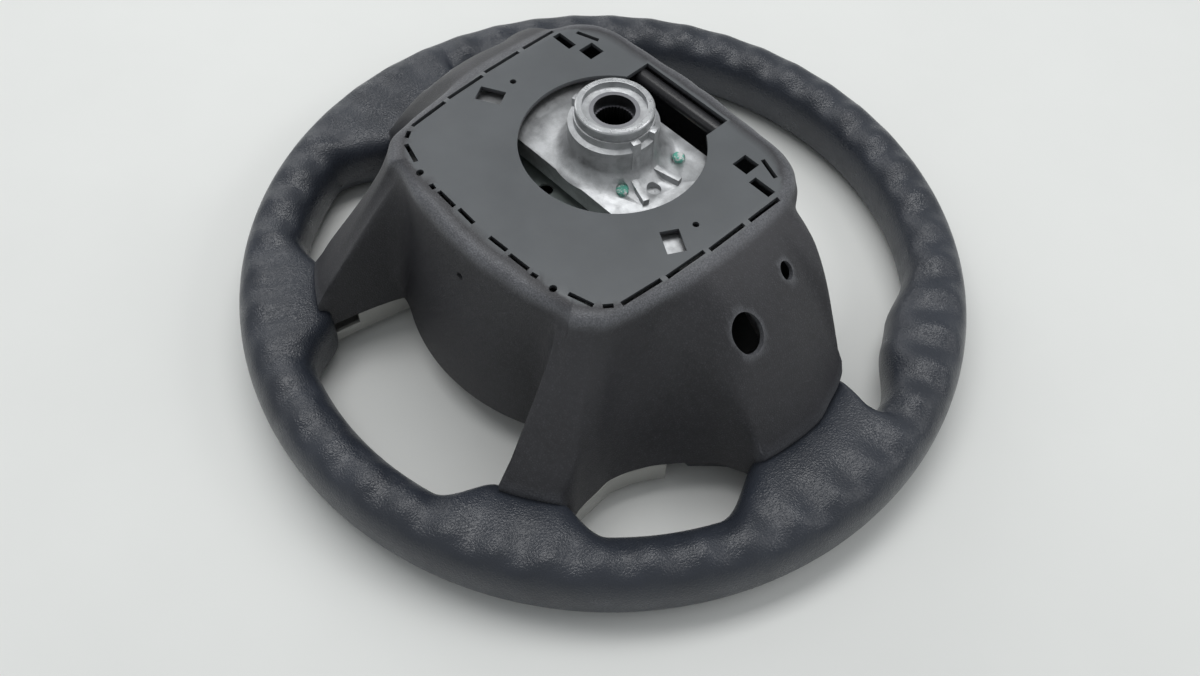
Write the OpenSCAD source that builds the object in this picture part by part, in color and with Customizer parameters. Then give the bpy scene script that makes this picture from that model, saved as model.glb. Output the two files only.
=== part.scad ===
// Car steering wheel with four spokes, lying face down on its rim.
// Millimetres. The origin is on the hub axis in the plane that the rim rests on,
// +Z points to the steering column, +Y to the top of the wheel.

/* [Rim] */
// Outer diameter of the rim
rim_d = 380; // [370:1:390]
// Radial width of the grip's section
rim_w = 30.6; // [29:0.2:32]
// Height of the grip's section, front to rear
rim_h = 39.6; // [38.6:0.2:41]
// Number of finger bumps round the rim
bump_count = 48; // [44:2:52]
// Depth of the valleys between the finger bumps
bump_depth = 1.7; // [0.4:0.1:2.4]
// How far each thumb rest bulges inward
thumb_bulge = 9.5; // [5:0.5:11]
// Angle of the thumb rests above the side spokes
thumb_angle = 33; // [31:1:35]
// Radius of the metal core ring's section
core_r = 6; // [5:0.5:7.5]

/* [Spokes] */
// How far the side spoke roots reach in from the rim's outside
side_root = 46; // [44:0.5:48]
// How far the lower spoke roots reach in from the rim's outside
lower_root = 40; // [38:0.5:42]
// Angle of the lower spoke roots below the side spokes
lower_angle = 58.4; // [57.5:0.1:59.5]
// Width of the cast bar inside each side spoke
side_bar_w = 18; // [15:0.5:20]
// Width of the cast bar inside each lower spoke
lower_bar_w = 14; // [11:0.5:15]

/* [Rear cover] */
// Height of the cover's flat rear face
face_z = 114.5; // [113.5:0.1:116]
// Half the width of the rear face
face_half_w = 82; // [80:0.5:84]
// Distance from the hub axis to the lower edge of the rear face
face_low = 92; // [90:0.5:94]
// Distance from the hub axis to the upper edge of the rear face
face_top = 60; // [58:0.5:62]
// Wall thickness of the cover
cover_wall = 2.5; // [2:0.1:3]
// Radius of the skirt's round lower edge
skirt_r = 105; // [104:0.5:107]
// Radius of the inner edge of the openings beside the lower spokes
side_gap_r = 121.3; // [120.5:0.1:122.5]
// Height of the cover's lower edge
skirt_z = 20; // [19.8:0.1:21]
// Radius of the opening round the hub
eye_r = 44.4; // [43.5:0.1:45.5]
// Half the width of the cut-out above that opening
notch_half_w = 26.7; // [25:0.1:28]
// Distance from the hub axis to the top of the cut-out
notch_top = 50; // [49:0.5:51]
// Radius of the rail moulded across the cut-out
rail_r = 3.8; // [3:0.1:4]
// Width of the slots round the rear face
slot_w = 2.2; // [1.6:0.1:2.8]
// Radius of the airbag bolt access holes
access_r = 10.5; // [9:0.1:11.5]
// Radius of the smaller holes beside them
service_r = 4.8; // [3.5:0.1:5.5]

/* [Hub] */
// Height of the hub's nose
nose_z = 137.6; // [135:0.1:140]
// Radius of the hub's nose
nose_r = 18.3; // [17.5:0.1:19]
// Radius of the collar below the nose
collar_r = 21.3; // [20.5:0.1:22]
// Height of the collar's top
collar_z = 127.5; // [125:0.5:129]
// Height of the cast plate's rear face
plate_z = 109; // [108:0.1:110]
// Thickness of the cast plate
plate_t = 10; // [8:0.5:11]
// Half the length of the cast plate
plate_half_l = 70; // [69.5:0.5:71]
// Outer radius of the steel bush
bush_r = 11.7; // [11.2:0.1:12.5]
// Bore radius at the bush's plain lead-in
bore_r = 9.65; // [9:0.05:10.2]
// Number of serrations in the bush
spline_count = 36; // [30:2:40]
// Depth of the round recess in the nose
recess_depth = 3; // [2:0.5:4]

/* [Horn pad and airbag] */
// Radius of the pad's round lower edge
pad_r = 97; // [95:0.5:98.5]
// Half the width of the pad between the side spokes
pad_half_w = 88; // [86:0.5:89.5]
// Distance from the hub axis to the pad's top edge
pad_top = 62; // [60:0.5:63]
// Height of the lowest point of the pad's face
pad_z = 4; // [3.5:0.1:5]
// Thickness of the pad's skin
pad_skin = 3; // [2.5:0.1:3.5]
// Travel of the pad when the horn is pressed
horn_travel = 1.8; // [1.2:0.1:2]
// Radius of the gas generator
inflator_r = 30; // [27:0.5:32]
// Thickness of the pressed steel plates
sheet_t = 1.5; // [1.2:0.1:2]
// Height of the fixed horn plate's front face
horn_plate_z = 86; // [85:0.2:87]
// Wire radius of the horn springs
wire_r = 0.6; // [0.5:0.05:0.7]

/* [Switches] */
// Height of the bezels' front face
bezel_z = 6; // [5:0.1:7]
// Thickness of the bezels' wall
bezel_wall = 2.4; // [2:0.1:3]
// Travel of the push buttons
button_travel = 1; // [0.6:0.1:1.2]
// How far the buttons stand proud of the bezel
button_proud = 1.6; // [1.3:0.1:2]
// Width of the rocker
rocker_w = 9; // [8:0.5:10]
// Length of the rocker
rocker_l = 22; // [19:0.5:24]

/* [Hidden] */
$fn = 64;

// Clearances: a seat, a loose fit and the gap at a visible joint line
seat_gap = 0.3;
slide_gap = 0.35;
seam_gap = 0.6;
eps = 0.01;

rim_r = rim_d / 2;
core_ring_r = rim_r - rim_w / 2;
rim_mid_z = rim_h / 2;
side_joint_r = rim_r - side_root;
lower_joint_r = rim_r - lower_root;

// Small helpers
function mix(a, b, t) = a + (b - a) * t;
function ease(t) = let (u = max(0, min(1, t))) u * u * (3 - 2 * u);
function window(d, half, blend) = 1 - ease((abs(d) - half) / blend);
function fold(a) = a > 90 ? 180 - a : a;
function sgn_pow(v, p) = sign(v) * pow(abs(v), p);
function polar(a, r) = [r * cos(a), r * sin(a)];

module mirrored() {
    children();
    mirror([1, 0, 0]) children();
}

function centre_of(ring) = [for (k = [0 : 2]) [for (p = ring) p[k]] * [for (p = ring) 1] / len(ring)];

// Closed solid through a stack of rings, the highest ring first. An end face is a fan from its middle, or
// from two points at reach on either side of it, which see round the arms of a wide outline
module loft(rings, reach = 0) {
    n = len(rings[0]);
    last = len(rings) - 1;
    hubs = reach > 0 ? [-reach, reach] : [0];
    points = concat([for (ring = rings) each ring],
        [for (ring = [rings[0], rings[last]], h = hubs) centre_of(ring) + [h, 0, 0]]);
    sides = [for (j = [0 : last - 1], i = [0 : n - 1])
        let (k = (i + 1) % n, a = j * n + i, b = j * n + k, c = a + n, d = b + n)
        each [[a, b, d], [a, d, c]]];
    side = [for (p = rings[0]) reach > 0 && p.x > 0 ? 1 : 0];
    high = n * (last + 1);
    top = [for (i = [0 : n - 1]) let (k = (i + 1) % n, a = high + side[i], b = high + side[k])
        each a == b ? [[a, k, i]] : [[a, k, i], [a, b, k]]];
    low = high + len(hubs);
    bottom = [for (i = [0 : n - 1]) let (k = (i + 1) % n, a = low + side[i], b = low + side[k], j = last * n)
        each a == b ? [[a, j + i, j + k]] : [[a, j + i, j + k], [a, j + k, b]]];
    polyhedron(points, concat(top, bottom, sides));
}

// Closed ring swept through sections, each a list of points in space
module closed_sweep(sections) {
    n = len(sections);
    m = len(sections[0]);
    points = [for (s = sections) each s];
    faces = [for (i = [0 : n - 1], k = [0 : m - 1])
        let (i2 = (i + 1) % n, k2 = (k + 1) % m)
        each [[i * m + k2, i2 * m + k2, i2 * m + k], [i * m + k2, i2 * m + k, i * m + k]]];
    polyhedron(points, faces);
}

// Flat shapes from whole circles and squares
module round_rect(w, h, r) {
    square([w - 2 * r, h], center = true);
    square([w, h - 2 * r], center = true);
    for (x = [-1, 1], y = [-1, 1]) translate([x * (w / 2 - r), y * (h / 2 - r)]) circle(r);
}

// RIM GRIP: one foam moulding, with bumps, thumb rests and the spoke roots
bump_steps = 4;
section_points = 16;
grip_columns = bump_count * bump_steps;
joint_slant = 0.5;
// Angles between which each root keeps its full reach, and the fillets on both sides
side_root_ends = [-12, 8.8];
side_root_fillets = [7, 3.6];
lower_root_ends = [-lower_angle - 6.8, -lower_angle + 8.8];
lower_root_fillets = [4.4, 4.6];

function between(b, ends, fillets) =
    1 - ease((ends[0] - b) / fillets[0]) - ease((b - ends[1]) / fillets[1]);
function side_root_w(b) = between(b, side_root_ends, side_root_fillets);
function lower_root_w(b) = between(b, lower_root_ends, lower_root_fillets);
function root_w(b) = max(side_root_w(b), lower_root_w(b));
function side_joint(b) = side_joint_r - joint_slant * max(0, b);
function root_reach(b) = side_root_w(b) * (core_ring_r - rim_w / 2 - side_joint(b))
    + lower_root_w(b) * (lower_root - rim_w);
function thumb_w(b) = window(b - thumb_angle, 2, 14);

function grip_point(a, k) =
    let (b = fold(a > 270 ? a - 360 : a), t = k * 360 / section_points,
        c = cos(t), s = sin(t), w = root_w(b), p = mix(0.92, c < 0 ? 0.5 : 0.92, w),
        reach = rim_w / 2 + (c < 0 ? root_reach(b) + thumb_bulge * thumb_w(b) : 0),
        valley = bump_depth * (1 - cos(a * bump_count)) / 2 * pow(max(0, sin(t + 12)), 1.5)
            * (1 - 0.5 * w),
        r = core_ring_r + (reach - valley) * sgn_pow(c, p),
        z = rim_mid_z + (rim_h / 2 - valley) * sgn_pow(s, p))
    [r * cos(a), r * sin(a), min(z, rim_h - w * max(0, core_ring_r - r) * 0.09)];

module grip_body() {
    closed_sweep([for (i = [0 : grip_columns - 1])
        let (a = i * 360 / grip_columns) [for (k = [0 : section_points - 1]) grip_point(a, k)]]);
}

module rim_grip() color([0.17, 0.19, 0.22]) {
    difference() {
        grip_body();
        core_ring(0.1);
        spoke_bars(0.1);
    }
}

// ARMATURE: one die casting of hub, plate, spoke bars and core ring
side_bar_y = 5;
bar_top_z = 101;
lower_bar_start = [50, -18];
function lower_bar_end() = polar(-lower_angle, lower_joint_r);
lower_bar_dir = lower_bar_end() - lower_bar_start;
lower_bar_turn = atan2(lower_bar_dir.y, lower_bar_dir.x);
lower_bar_len = norm(lower_bar_dir);
bar_low_z = rim_mid_z + core_r;

module core_ring(grow) {
    rotate_extrude($fn = 96) translate([core_ring_r, rim_mid_z]) circle(core_r + grow, $fn = 32);
}

// Side view of a bar: flat on the plate, falling to the joint, then level into the core ring
bar_depth = 10;
bar_lean = 6;
side_fall = [[0, 0], [0.24, -11], [0.45, -22], [0.65, -40], [0.84, -60]];
lower_fall = [[0, 0], [0.14, -6], [0.28, -18], [0.43, -32], [0.66, -46], [0.85, -64]];
function bar_top(start, shoulder, joint, end, fall) = concat([[start, bar_top_z]],
    [for (f = fall) [mix(shoulder, joint, f[0]), bar_top_z + f[1]]],
    [[joint, bar_low_z + 2], [end, bar_low_z]]);
function bar_under(p, start) =
    [max(start, p.x - (p.y < bar_top_z - 1 && p.y > bar_low_z + eps ? bar_lean : 0)),
        max(rim_mid_z - core_r, p.y - bar_depth)];
function bar_outline(top, grow) = concat([for (p = top) p + [grow, grow]],
    [for (i = [len(top) - 1 : -1 : 0]) bar_under(top[i], top[0].x) - [grow, grow]]);

module bar(top, width, grow) {
    translate([0, width / 2 + grow, 0]) rotate([90, 0, 0]) linear_extrude(width + 2 * grow)
        polygon(bar_outline(top, grow));
}

module spoke_bars(grow) {
    mirrored() {
        translate([0, side_bar_y, 0])
            bar(bar_top(50, plate_half_l + 12, side_joint_r - 2, core_ring_r, side_fall), side_bar_w, grow);
        translate([lower_bar_start.x, lower_bar_start.y, 0]) rotate([0, 0, lower_bar_turn])
            bar(bar_top(0, 50, lower_bar_len - 1, lower_bar_len + core_ring_r - lower_joint_r, lower_fall),
                lower_bar_w, grow);
    }
}

// Bolt ears beside the plate, and the screws that hold the cover
bolt_y = -20;
bolt_z = 82;
bolt_r = 3;
ear_x = plate_half_l - 6;
screw_r = 2;
side_screw = [plate_half_l + 4.4, side_bar_y];
lower_screw = lower_bar_start + 24 * lower_bar_dir / lower_bar_len;
pin_spots = [[25, 19], [22, -15]];
pin_r = 3;
pin_depth = 6;

// Turned seat at the end of the nose, with a relief groove under it
seat_low = nose_z - 4.8;
relief_h = 0.5;

module armature() color([0.72, 0.73, 0.74]) {
    difference() {
        union() {
            // Hub boss with its flared foot, collar and nose
            rotate_extrude($fn = 96) polygon([[0, plate_z - plate_t - 6], [collar_r, plate_z - plate_t - 6],
                [collar_r + 5, plate_z - plate_t], [collar_r + 8, plate_z], [collar_r + 3, plate_z + 3],
                [collar_r, plate_z + 8], [collar_r, collar_z], [nose_r + 0.5, collar_z + 0.8],
                [nose_r + 0.5, seat_low - relief_h], [nose_r - 0.4, seat_low - relief_h],
                [nose_r - 0.4, seat_low], [nose_r, seat_low],
                [nose_r, nose_z - 0.8], [nose_r - 0.8, nose_z], [0, nose_z]]);
            // Cast plate, wider at the hub, with ears for the airbag bolts
            translate([0, 0, plate_z - plate_t]) linear_extrude(plate_t)
                polygon([[-plate_half_l, -27], [-38, -28], [38, -28], [plate_half_l, -27],
                    [plate_half_l, 22], [50, 30], [-50, 30], [-plate_half_l, 22]]);
            mirrored() translate([ear_x, bolt_y - 7, bolt_z - 8])
                cube([6, 14, plate_z - bolt_z]);
            // Keys beside the nose, and ribs that stiffen the boss
            for (a = [-15.5, 18.4, 195]) rotate([0, 0, a])
                translate([nose_r - 2, -2, plate_z]) cube([5.2, 4, seat_low - relief_h - 0.2 - plate_z]);
            for (a = [12, -20]) rotate([0, 0, a]) translate([collar_r, -1.5, plate_z - 1])
                cube([16, 3, 4.5]);
            spoke_bars(0);
            rotate([0, 0, 5]) core_ring(0);
        }
        // Round recess in the nose and the seat of the bush
        translate([0, 0, nose_z - recess_depth]) cylinder(r = nose_r - 3.3, h = recess_depth + 1);
        translate([0, 0, plate_z - plate_t - 7]) cylinder(r = bush_r, h = nose_z);
        // Weight-saving pockets on the front of the plate
        mirrored() translate([34, -22, plate_z - plate_t - 1]) cube([14, 18, plate_t - 3]);
        mirrored() translate([30, 6, plate_z - plate_t - 1]) cube([16, 18, plate_t - 3]);
        // Holes for pins, screws and bolts, and the rough blind hole
        for (p = pin_spots) translate([p.x, p.y, plate_z - pin_depth]) cylinder(r = pin_r, h = pin_depth + 9);
        translate([30.5, -3, plate_z - 3]) cylinder(r = 3.4, h = 9);
        mirrored() for (p = [side_screw, lower_screw]) translate([p.x, p.y, plate_z - 40])
            cylinder(r = screw_r + slide_gap, h = 60);
        mirrored() translate([ear_x - 1, bolt_y, bolt_z]) rotate([0, 90, 0])
            cylinder(r = bolt_r + slide_gap, h = 8);
    }
}

module locating_pins() color([0.35, 0.6, 0.52]) {
    for (p = pin_spots) translate([p.x, p.y, plate_z - pin_depth]) {
        cylinder(r = pin_r, h = pin_depth + 1.6);
        translate([0, 0, pin_depth + 1.6]) cylinder(r1 = pin_r, r2 = pin_r - 0.7, h = 0.7);
    }
}

// SPLINE BUSH: steel, with a plain lead-in above the serrations
bush_low_z = plate_z - plate_t - 6;
lead_in = 7;
spline_depth = 0.75;

module spline_bush() color([0.45, 0.45, 0.47]) {
    bush_top = nose_z - recess_depth;
    difference() {
        translate([0, 0, bush_low_z]) cylinder(r = bush_r, h = bush_top - bush_low_z);
        translate([0, 0, bush_top - lead_in]) cylinder(r = bore_r, h = lead_in + 1);
        translate([0, 0, bush_low_z - 1]) linear_extrude(bush_top - lead_in - bush_low_z + 2)
            polygon([for (i = [0 : 2 * spline_count - 1])
                polar(i * 180 / spline_count, bore_r - 0.1 - (i % 2) * spline_depth)]);
    }
}

// REAR COVER: one moulded shroud over the hub and all four spokes
face_corner = [
    [0, -face_low], [0.3 * face_half_w, -0.98 * face_low], [0.6 * face_half_w, -0.955 * face_low],
    [0.76 * face_half_w, -0.915 * face_low], [0.87 * face_half_w, -0.83 * face_low],
    [0.925 * face_half_w, -0.68 * face_low], [0.97 * face_half_w, -0.45 * face_low],
    [0.995 * face_half_w, -0.2 * face_low], [face_half_w, 0], [0.99 * face_half_w, 0.3 * face_top],
    [0.96 * face_half_w, 0.6 * face_top], [0.92 * face_half_w, 0.74 * face_top],
    [0.845 * face_half_w, 0.855 * face_top], [0.74 * face_half_w, 0.93 * face_top],
    [0.5 * face_half_w, 0.97 * face_top], [0.25 * face_half_w, 0.99 * face_top], [0, face_top]];
face_polar = [for (p = face_corner) [atan2(p.y, p.x), norm(p)]];
function face_r(b) = lookup(b, face_polar);

// Each row: angle, radius and height of the shoulder, radius of the lower edge, bend of the slope
side_end = side_joint_r - seam_gap;
function side_edge(b) = side_joint(b) - seam_gap;
lower_end = lower_joint_r - seam_gap;
shoulder_z = rim_h - 1.6;
draft = 7;
low_a = -lower_angle;
cover_rows = [
    [-90, skirt_r - 9, 78, skirt_r, 1], [low_a - 9, skirt_r - 8, 80, skirt_r, 1],
    [low_a - 5.9, skirt_r - 4, 82, skirt_r + 2, 1], [low_a - 5.2, lower_end - 20, 68, lower_end - 18, 1],
    [low_a - 4.6, lower_end, shoulder_z + 6, lower_end, 0.95],
    [low_a, lower_end, shoulder_z + 4, lower_end, 0.95],
    [low_a + 6.2, lower_end, shoulder_z, lower_end, 0.9],
    [low_a + 8.6, lower_end - 6, 46, lower_end - 1, 0.9],
    [low_a + 9.6, lower_end - 16, 52, lower_end - 6, 0.9],
    [low_a + 12.5, lower_end - 27, 60, lower_end - 15, 0.9],
    [-43, side_gap_r - 10, 66, side_gap_r + 6, 0.9], [-38, side_gap_r - 16, 72, side_gap_r + 1.5, 0.9],
    [-33, side_gap_r - 19, 76, side_gap_r, 0.9], [-28, side_gap_r - 19, 80, side_gap_r + 1.2, 1],
    [-24, side_gap_r - 15, 80, side_gap_r + 3.4, 1.1], [-19.5, side_gap_r - 4, 70, side_gap_r + 8, 1.25],
    [-16, side_end - 10, 56, side_end - 6, 1.35], [-13.4, side_end, shoulder_z + 2, side_end, 1.45],
    [0, side_end, shoulder_z + 1, side_end, 1.45],
    [6, side_edge(6), shoulder_z + 2, side_edge(6), 1.45],
    [12, side_edge(12), shoulder_z + 4, side_edge(12), 1.45],
    [13.6, side_end - 16, 68, side_end - 14, 1.45], [16.5, side_end - 27, 86, side_end - 24.5, 1.4],
    [19.6, side_end - 36.5, 97, side_end - 33, 1.35], [24, face_r(24) + 9, 102, face_r(24) + 12, 1.2],
    for (b = [28, 34, 41, 50, 60, 75, 90]) [b, face_r(b) + 2, face_z - 12, face_r(b) + draft, 1]];
function cover_row(b, c) = lookup(b, [for (r = cover_rows) [r[0], r[c]]]);

slope_steps = 5;
// The rounded edge of the rear face: steep over the skirt, gentle where an arm begins
steep_edge = [[-9, 0], [-4.4, -0.9], [-1, -3.8], [0.6, -7.6]];
gentle_edge = [[-9, 0], [-4.4, -0.5], [-1, -1.6], [3, -3.6]];
edge_rings = len(steep_edge);
function edge_drop(b, k) = mix(steep_edge[k], gentle_edge[k], ease((cover_row(b, 4) - 1) / 0.4));
function cover_point(b, k) =
    let (e = face_r(b), rs = cover_row(b, 1), zs = cover_row(b, 2), foot = edge_drop(b, edge_rings - 1))
    k < edge_rings ? [e, face_z] + edge_drop(b, k)
    : k < edge_rings + slope_steps ?
        let (u = (k - edge_rings + 1) / slope_steps)
        [mix(e + foot[0], rs, u), mix(face_z + foot[1], zs, pow(u, cover_row(b, 4)))]
    : [cover_row(b, 3), skirt_z];
cover_rings = edge_rings + slope_steps + 1;

half_angles = concat([-90 : 5 : low_a - 12], [low_a - 9, low_a - 7.4],
    [low_a - 5.9, low_a - 5.2, low_a - 4.6],
    [low_a - 2.4 : 2.5 : low_a + 5.1],
    [low_a + 6.2 : 1.2 : -44], [-42 : 3 : -18], [-16 : 1.3 : -12], [-9.5, -5, 0, 5, 9, 12, 12.8, 13.6],
    [15 : 1.5 : 21], [24, 28], [33 : 5 : 60], [66 : 8 : 83]);
flat_angles = [for (g = half_angles) each g];
all_angles = concat(flat_angles, [90], [for (i = [len(flat_angles) - 1 : -1 : 1]) 180 - flat_angles[i]]);

// A ring moved inward in its own plane by d
function inset(ring, d) = let (n = len(ring)) [for (i = [0 : n - 1])
    let (t = ring[(i + 1) % n] - ring[(i + n - 1) % n])
    ring[i] - d * [t.y, -t.x] / norm([t.x, t.y])];
// The arms' inner walls run almost upright on the page, so their columns bend away from the hub
arm_bend = 6.4;
function bent(b, r) = b + arm_bend * window(b - low_a + 4.8, 0, b < low_a - 4.8 ? 8 : 11)
    * max(0, min(1, (lower_end - r) / (lower_end - skirt_r)));
function turned(a, r) = a > 90 ? 180 - bent(180 - a, r) : bent(a, r);
// Inside the upper flank of a side arm the wall is taken from the next columns, which keeps its thickness
flank_shift = 0.4;
function column(a, d) = fold(a) + flank_shift * d * window(fold(a) - 12.6, 1.5, 4);
function cover_outline(k, d) =
    [for (a = all_angles) let (r = cover_point(column(a, d), k)[0]) polar(turned(a, r), r)];
function cover_ring(k, d, drop) = let (flat = d == 0 ? cover_outline(k, d) : inset(cover_outline(k, d), d))
    [for (i = [0 : len(flat) - 1])
        [flat[i].x, flat[i].y, cover_point(fold(all_angles[i]), k)[1] - drop]];

end_reach = 0.52 * skirt_r;
module cover_outside() {
    loft([for (k = [0 : cover_rings - 1]) cover_ring(k, 0, 0)], end_reach);
}

module cover_inside() {
    loft(concat([cover_ring(1, 1, cover_wall - 0.9), cover_ring(2, 2, cover_wall - 0.6)],
        [for (k = [3 : cover_rings - 2]) cover_ring(k, cover_wall, 0.8 * cover_wall)],
        [cover_ring(cover_rings - 1, cover_wall, 1)]), end_reach);
}

// A straight slot between two points
module slot(p, q, w) {
    d = q - p;
    translate([p.x, p.y, face_z - 8]) rotate([0, 0, atan2(d.y, d.x)])
        translate([0, -w / 2, 0]) cube([norm(d), w, 12]);
}

module face_slots() {
    // Upright slots beside the flat face
    side_x = face_half_w - 6.5;
    for (s = [[11.4, 31.4, 0], [-13.9, 8, 0.4], [-38.5, -16.4, 2.5], [-62.7, -41.3, 5.5]])
        slot([side_x - s[2], s[0]], [side_x - s[2] * 0.6, s[1]], slot_w);
    // Corner slots and the row along the lower edge
    slot([68.3, -65.8], [65.6, -69.6], slot_w);
    slot([62.6, -72.2], [51, -75.6], slot_w);
    for (s = [[5.3, 16], [18.5, 30], [32.4, 35.8]])
        slot([s[0], 12 - face_low], [s[1], 12.6 - face_low], slot_w);
    slot([54.9, face_top - 16.5], [66.5, face_top - 20.6], slot_w);
    translate([44.6, 13.5 - face_low, face_z - 8]) cylinder(r = 1.8, h = 12, $fn = 16);
    translate([61, -8, face_z - 8]) cylinder(r = 1.6, h = 12, $fn = 16);
    // Windows of the snap hooks
    translate([61, -22.4, face_z - 2]) rotate([0, 0, -29]) cube([12.8, 9, 20], center = true);
    translate([47.3, 31, face_z - 8]) cube([8.7, 8.8, 12]);
    translate([60, 28.1, face_z - 8]) cube([12, 4.7, 12]);
}

// Hole that is longer down the slope of the arm than across it
oval_share = 0.72;
module oval_hole(r, depth) linear_extrude(depth, center = true)
    polygon([for (a = [0 : 12 : 348]) [r * cos(a), oval_share * r * sin(a)]]);

module rear_cover() color([0.2, 0.2, 0.21]) {
    boss_r = 4;
    boss_bite = 0.5;
    difference() {
        union() {
            difference() {
                cover_outside();
                cover_inside();
            }
            // Screw bosses that stand on the spoke bars
            mirrored() for (p = [side_screw, lower_screw])
                translate([p.x, p.y, bar_top_z])
                    cylinder(r = boss_r, h = face_z - cover_wall + boss_bite - bar_top_z, $fn = 24);
        }
        translate([0, 0, face_z - 12]) cylinder(r = eye_r, h = 20, $fn = 96);
        translate([-notch_half_w, 20, face_z - 12]) cube([2 * notch_half_w, notch_top - 20, 20]);
        mirrored() face_slots();
        mirrored() for (p = [side_screw, lower_screw])
            translate([p.x, p.y, bar_top_z - 1]) cylinder(r = screw_r + 0.05, h = 10, $fn = 24);
        // Access holes through the side arms, and the small hole at the bottom
        mirrored() {
            translate([107.8, -20, 91]) rotate([0, 58, 4]) oval_hole(access_r, 26);
            translate([100.3, 13, 100.4]) rotate([0, 52, 4]) oval_hole(service_r, 20);
        }
        translate([0, 4 - face_low, 94]) rotate([90, 0, 0]) cylinder(r = 1.9, h = 12, $fn = 16);
        // Passages of the spoke bars through the ends of the arms
        spoke_bars(1);
    }
    // Rail across the cut-out, let into its side edges
    translate([-notch_half_w - 1, notch_top - 3.5, face_z - 6]) rotate([0, 90, 0])
        cylinder(r = rail_r, h = 2 * notch_half_w + 2, $fn = 20);
}

module pan_screw(r, length) {
    translate([0, 0, -2.4]) cylinder(r = 2 * r, h = 2.4, $fn = 24);
    cylinder(r = r, h = length, $fn = 24);
}

// Screws come from the front, through the bars into the cover's bosses
module cover_screws() color([0.55, 0.55, 0.52]) {
    mirrored() for (p = [side_screw, lower_screw])
        translate([p.x, p.y, bar_top_z - bar_depth]) pan_screw(screw_r, bar_depth + 7);
}

// HORN PLATE: fixed sheet behind the airbag, bolted to the ears of the casting
pin_places = [[44, 20], [-44, 20], [0, -50]];
contact_places = [[30, -40], [-30, -40], [0, 36]];
guide_r = 3;
contact_r = 3;

module horn_plate() color([0.62, 0.64, 0.65]) {
    tab_x = ear_x - sheet_t - eps;
    difference() {
        union() {
            translate([0, -17, horn_plate_z]) linear_extrude(sheet_t) round_rect(2 * ear_x - 3.2, 86, 14);
            // Tongue that carries the upper contact
            translate([0, 30, horn_plate_z]) linear_extrude(sheet_t) round_rect(22, 26, 8);
            mirrored() translate([tab_x, bolt_y - 7, bolt_z - 8])
                cube([sheet_t, 14, horn_plate_z + sheet_t - bolt_z + 8]);
            mirrored() translate([ear_x - 12, bolt_y - 7, horn_plate_z]) cube([12 - eps, 14, sheet_t]);
            // Weld nuts on the tabs
            mirrored() translate([tab_x - 5, bolt_y, bolt_z]) rotate([0, 90, 0])
                cylinder(r = bolt_r + 1.4, h = 5);
        }
        for (p = pin_places) translate([p.x, p.y, horn_plate_z - 1]) cylinder(r = guide_r + slide_gap, h = 5);
        for (p = contact_places) translate([p.x, p.y, horn_plate_z - 1]) cylinder(r = 1.5, h = 5);
        translate([-17, -27, horn_plate_z - 1]) cylinder(r = 3.7, h = 5);
        mirrored() translate([tab_x - 6, bolt_y, bolt_z]) rotate([0, 90, 0]) cylinder(r = bolt_r, h = 10);
    }
}

module airbag_bolts() color([0.6, 0.6, 0.58]) {
    mirrored() translate([plate_half_l, bolt_y, bolt_z]) rotate([0, 90, 0]) {
        translate([0, 0, -14]) cylinder(r = bolt_r, h = 14);
        difference() {
            cylinder(r = 5.5, h = 5);
            translate([0, 0, 2]) cylinder(r = 2.6, h = 4, $fn = 6);
        }
    }
}

module fixed_contacts() color([0.72, 0.5, 0.3]) {
    for (p = contact_places) translate([p.x, p.y, horn_plate_z - 1.2]) {
        cylinder(r = contact_r, h = 1.2);
        cylinder(r = 1.5, h = sheet_t + 1.8);
    }
}

// HORN SPRINGS: open coils round the guide pins
module_z = 74;
spring_turns = 4;
spring_r = 6.2;
spring_steps = 10;

module horn_springs() color([0.66, 0.67, 0.68]) {
    low = module_z + sheet_t + wire_r + 0.05;
    high = horn_plate_z - wire_r - 0.05;
    n = spring_turns * spring_steps;
    for (p = pin_places) translate([p.x, p.y, 0])
        loft([for (i = [0 : n]) let (a = i * 360 / spring_steps, z = mix(low, high, i / n))
            [for (k = [0 : 5]) let (r = spring_r + wire_r * cos(k * 60), dz = wire_r * sin(k * 60))
                [r * cos(a), r * sin(a), z + dz]]]);
}

// PAD AND AIRBAG: the sprung group that sounds the horn
dome_r = 520;
tuck_w = 116;
tuck_h = 100;
tuck_y = -8;
pad_lip_z = 17;

module pad_outline(grow) {
    intersection() {
        circle(pad_r + grow, $fn = 128);
        translate([0, (pad_top - pad_r) / 2]) union() {
            round_rect(2 * (pad_half_w + grow), pad_top + pad_r + 2 * grow, 24 + grow);
            translate([0, -40])
                square([2 * (pad_half_w + grow), pad_top + pad_r + 2 * grow - 80 + 24], center = true);
        }
    }
}

module pad_cover() color([0.16, 0.16, 0.17]) {
    difference() {
        intersection() {
            linear_extrude(pad_lip_z) pad_outline(0);
            translate([0, 0, pad_z + dome_r]) sphere(dome_r, $fn = 96);
        }
        intersection() {
            translate([0, 0, -1]) linear_extrude(pad_lip_z + 2) pad_outline(-pad_skin);
            translate([0, 0, pad_z + dome_r]) sphere(dome_r - pad_skin, $fn = 96);
        }
    }
    // Square wall that holds the folded airbag
    translate([0, tuck_y, pad_z + 7]) linear_extrude(module_z - pad_z - 7) difference() {
        round_rect(tuck_w, tuck_h, 12);
        round_rect(tuck_w - 2 * pad_skin, tuck_h - 2 * pad_skin, 12 - pad_skin);
    }
}

module module_plate() color([0.6, 0.61, 0.62]) {
    translate([0, 0, module_z]) linear_extrude(sheet_t) difference() {
        translate([0, tuck_y]) round_rect(tuck_w + 4, tuck_h + 4, 13);
        circle(inflator_r - 6);
        for (a = [45 : 90 : 315]) rotate(a) translate([inflator_r + 4, 0]) circle(2.6);
        for (p = pin_places) translate(p) circle(2);
        for (p = contact_places) translate(p) circle(1.5);
    }
}

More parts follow.
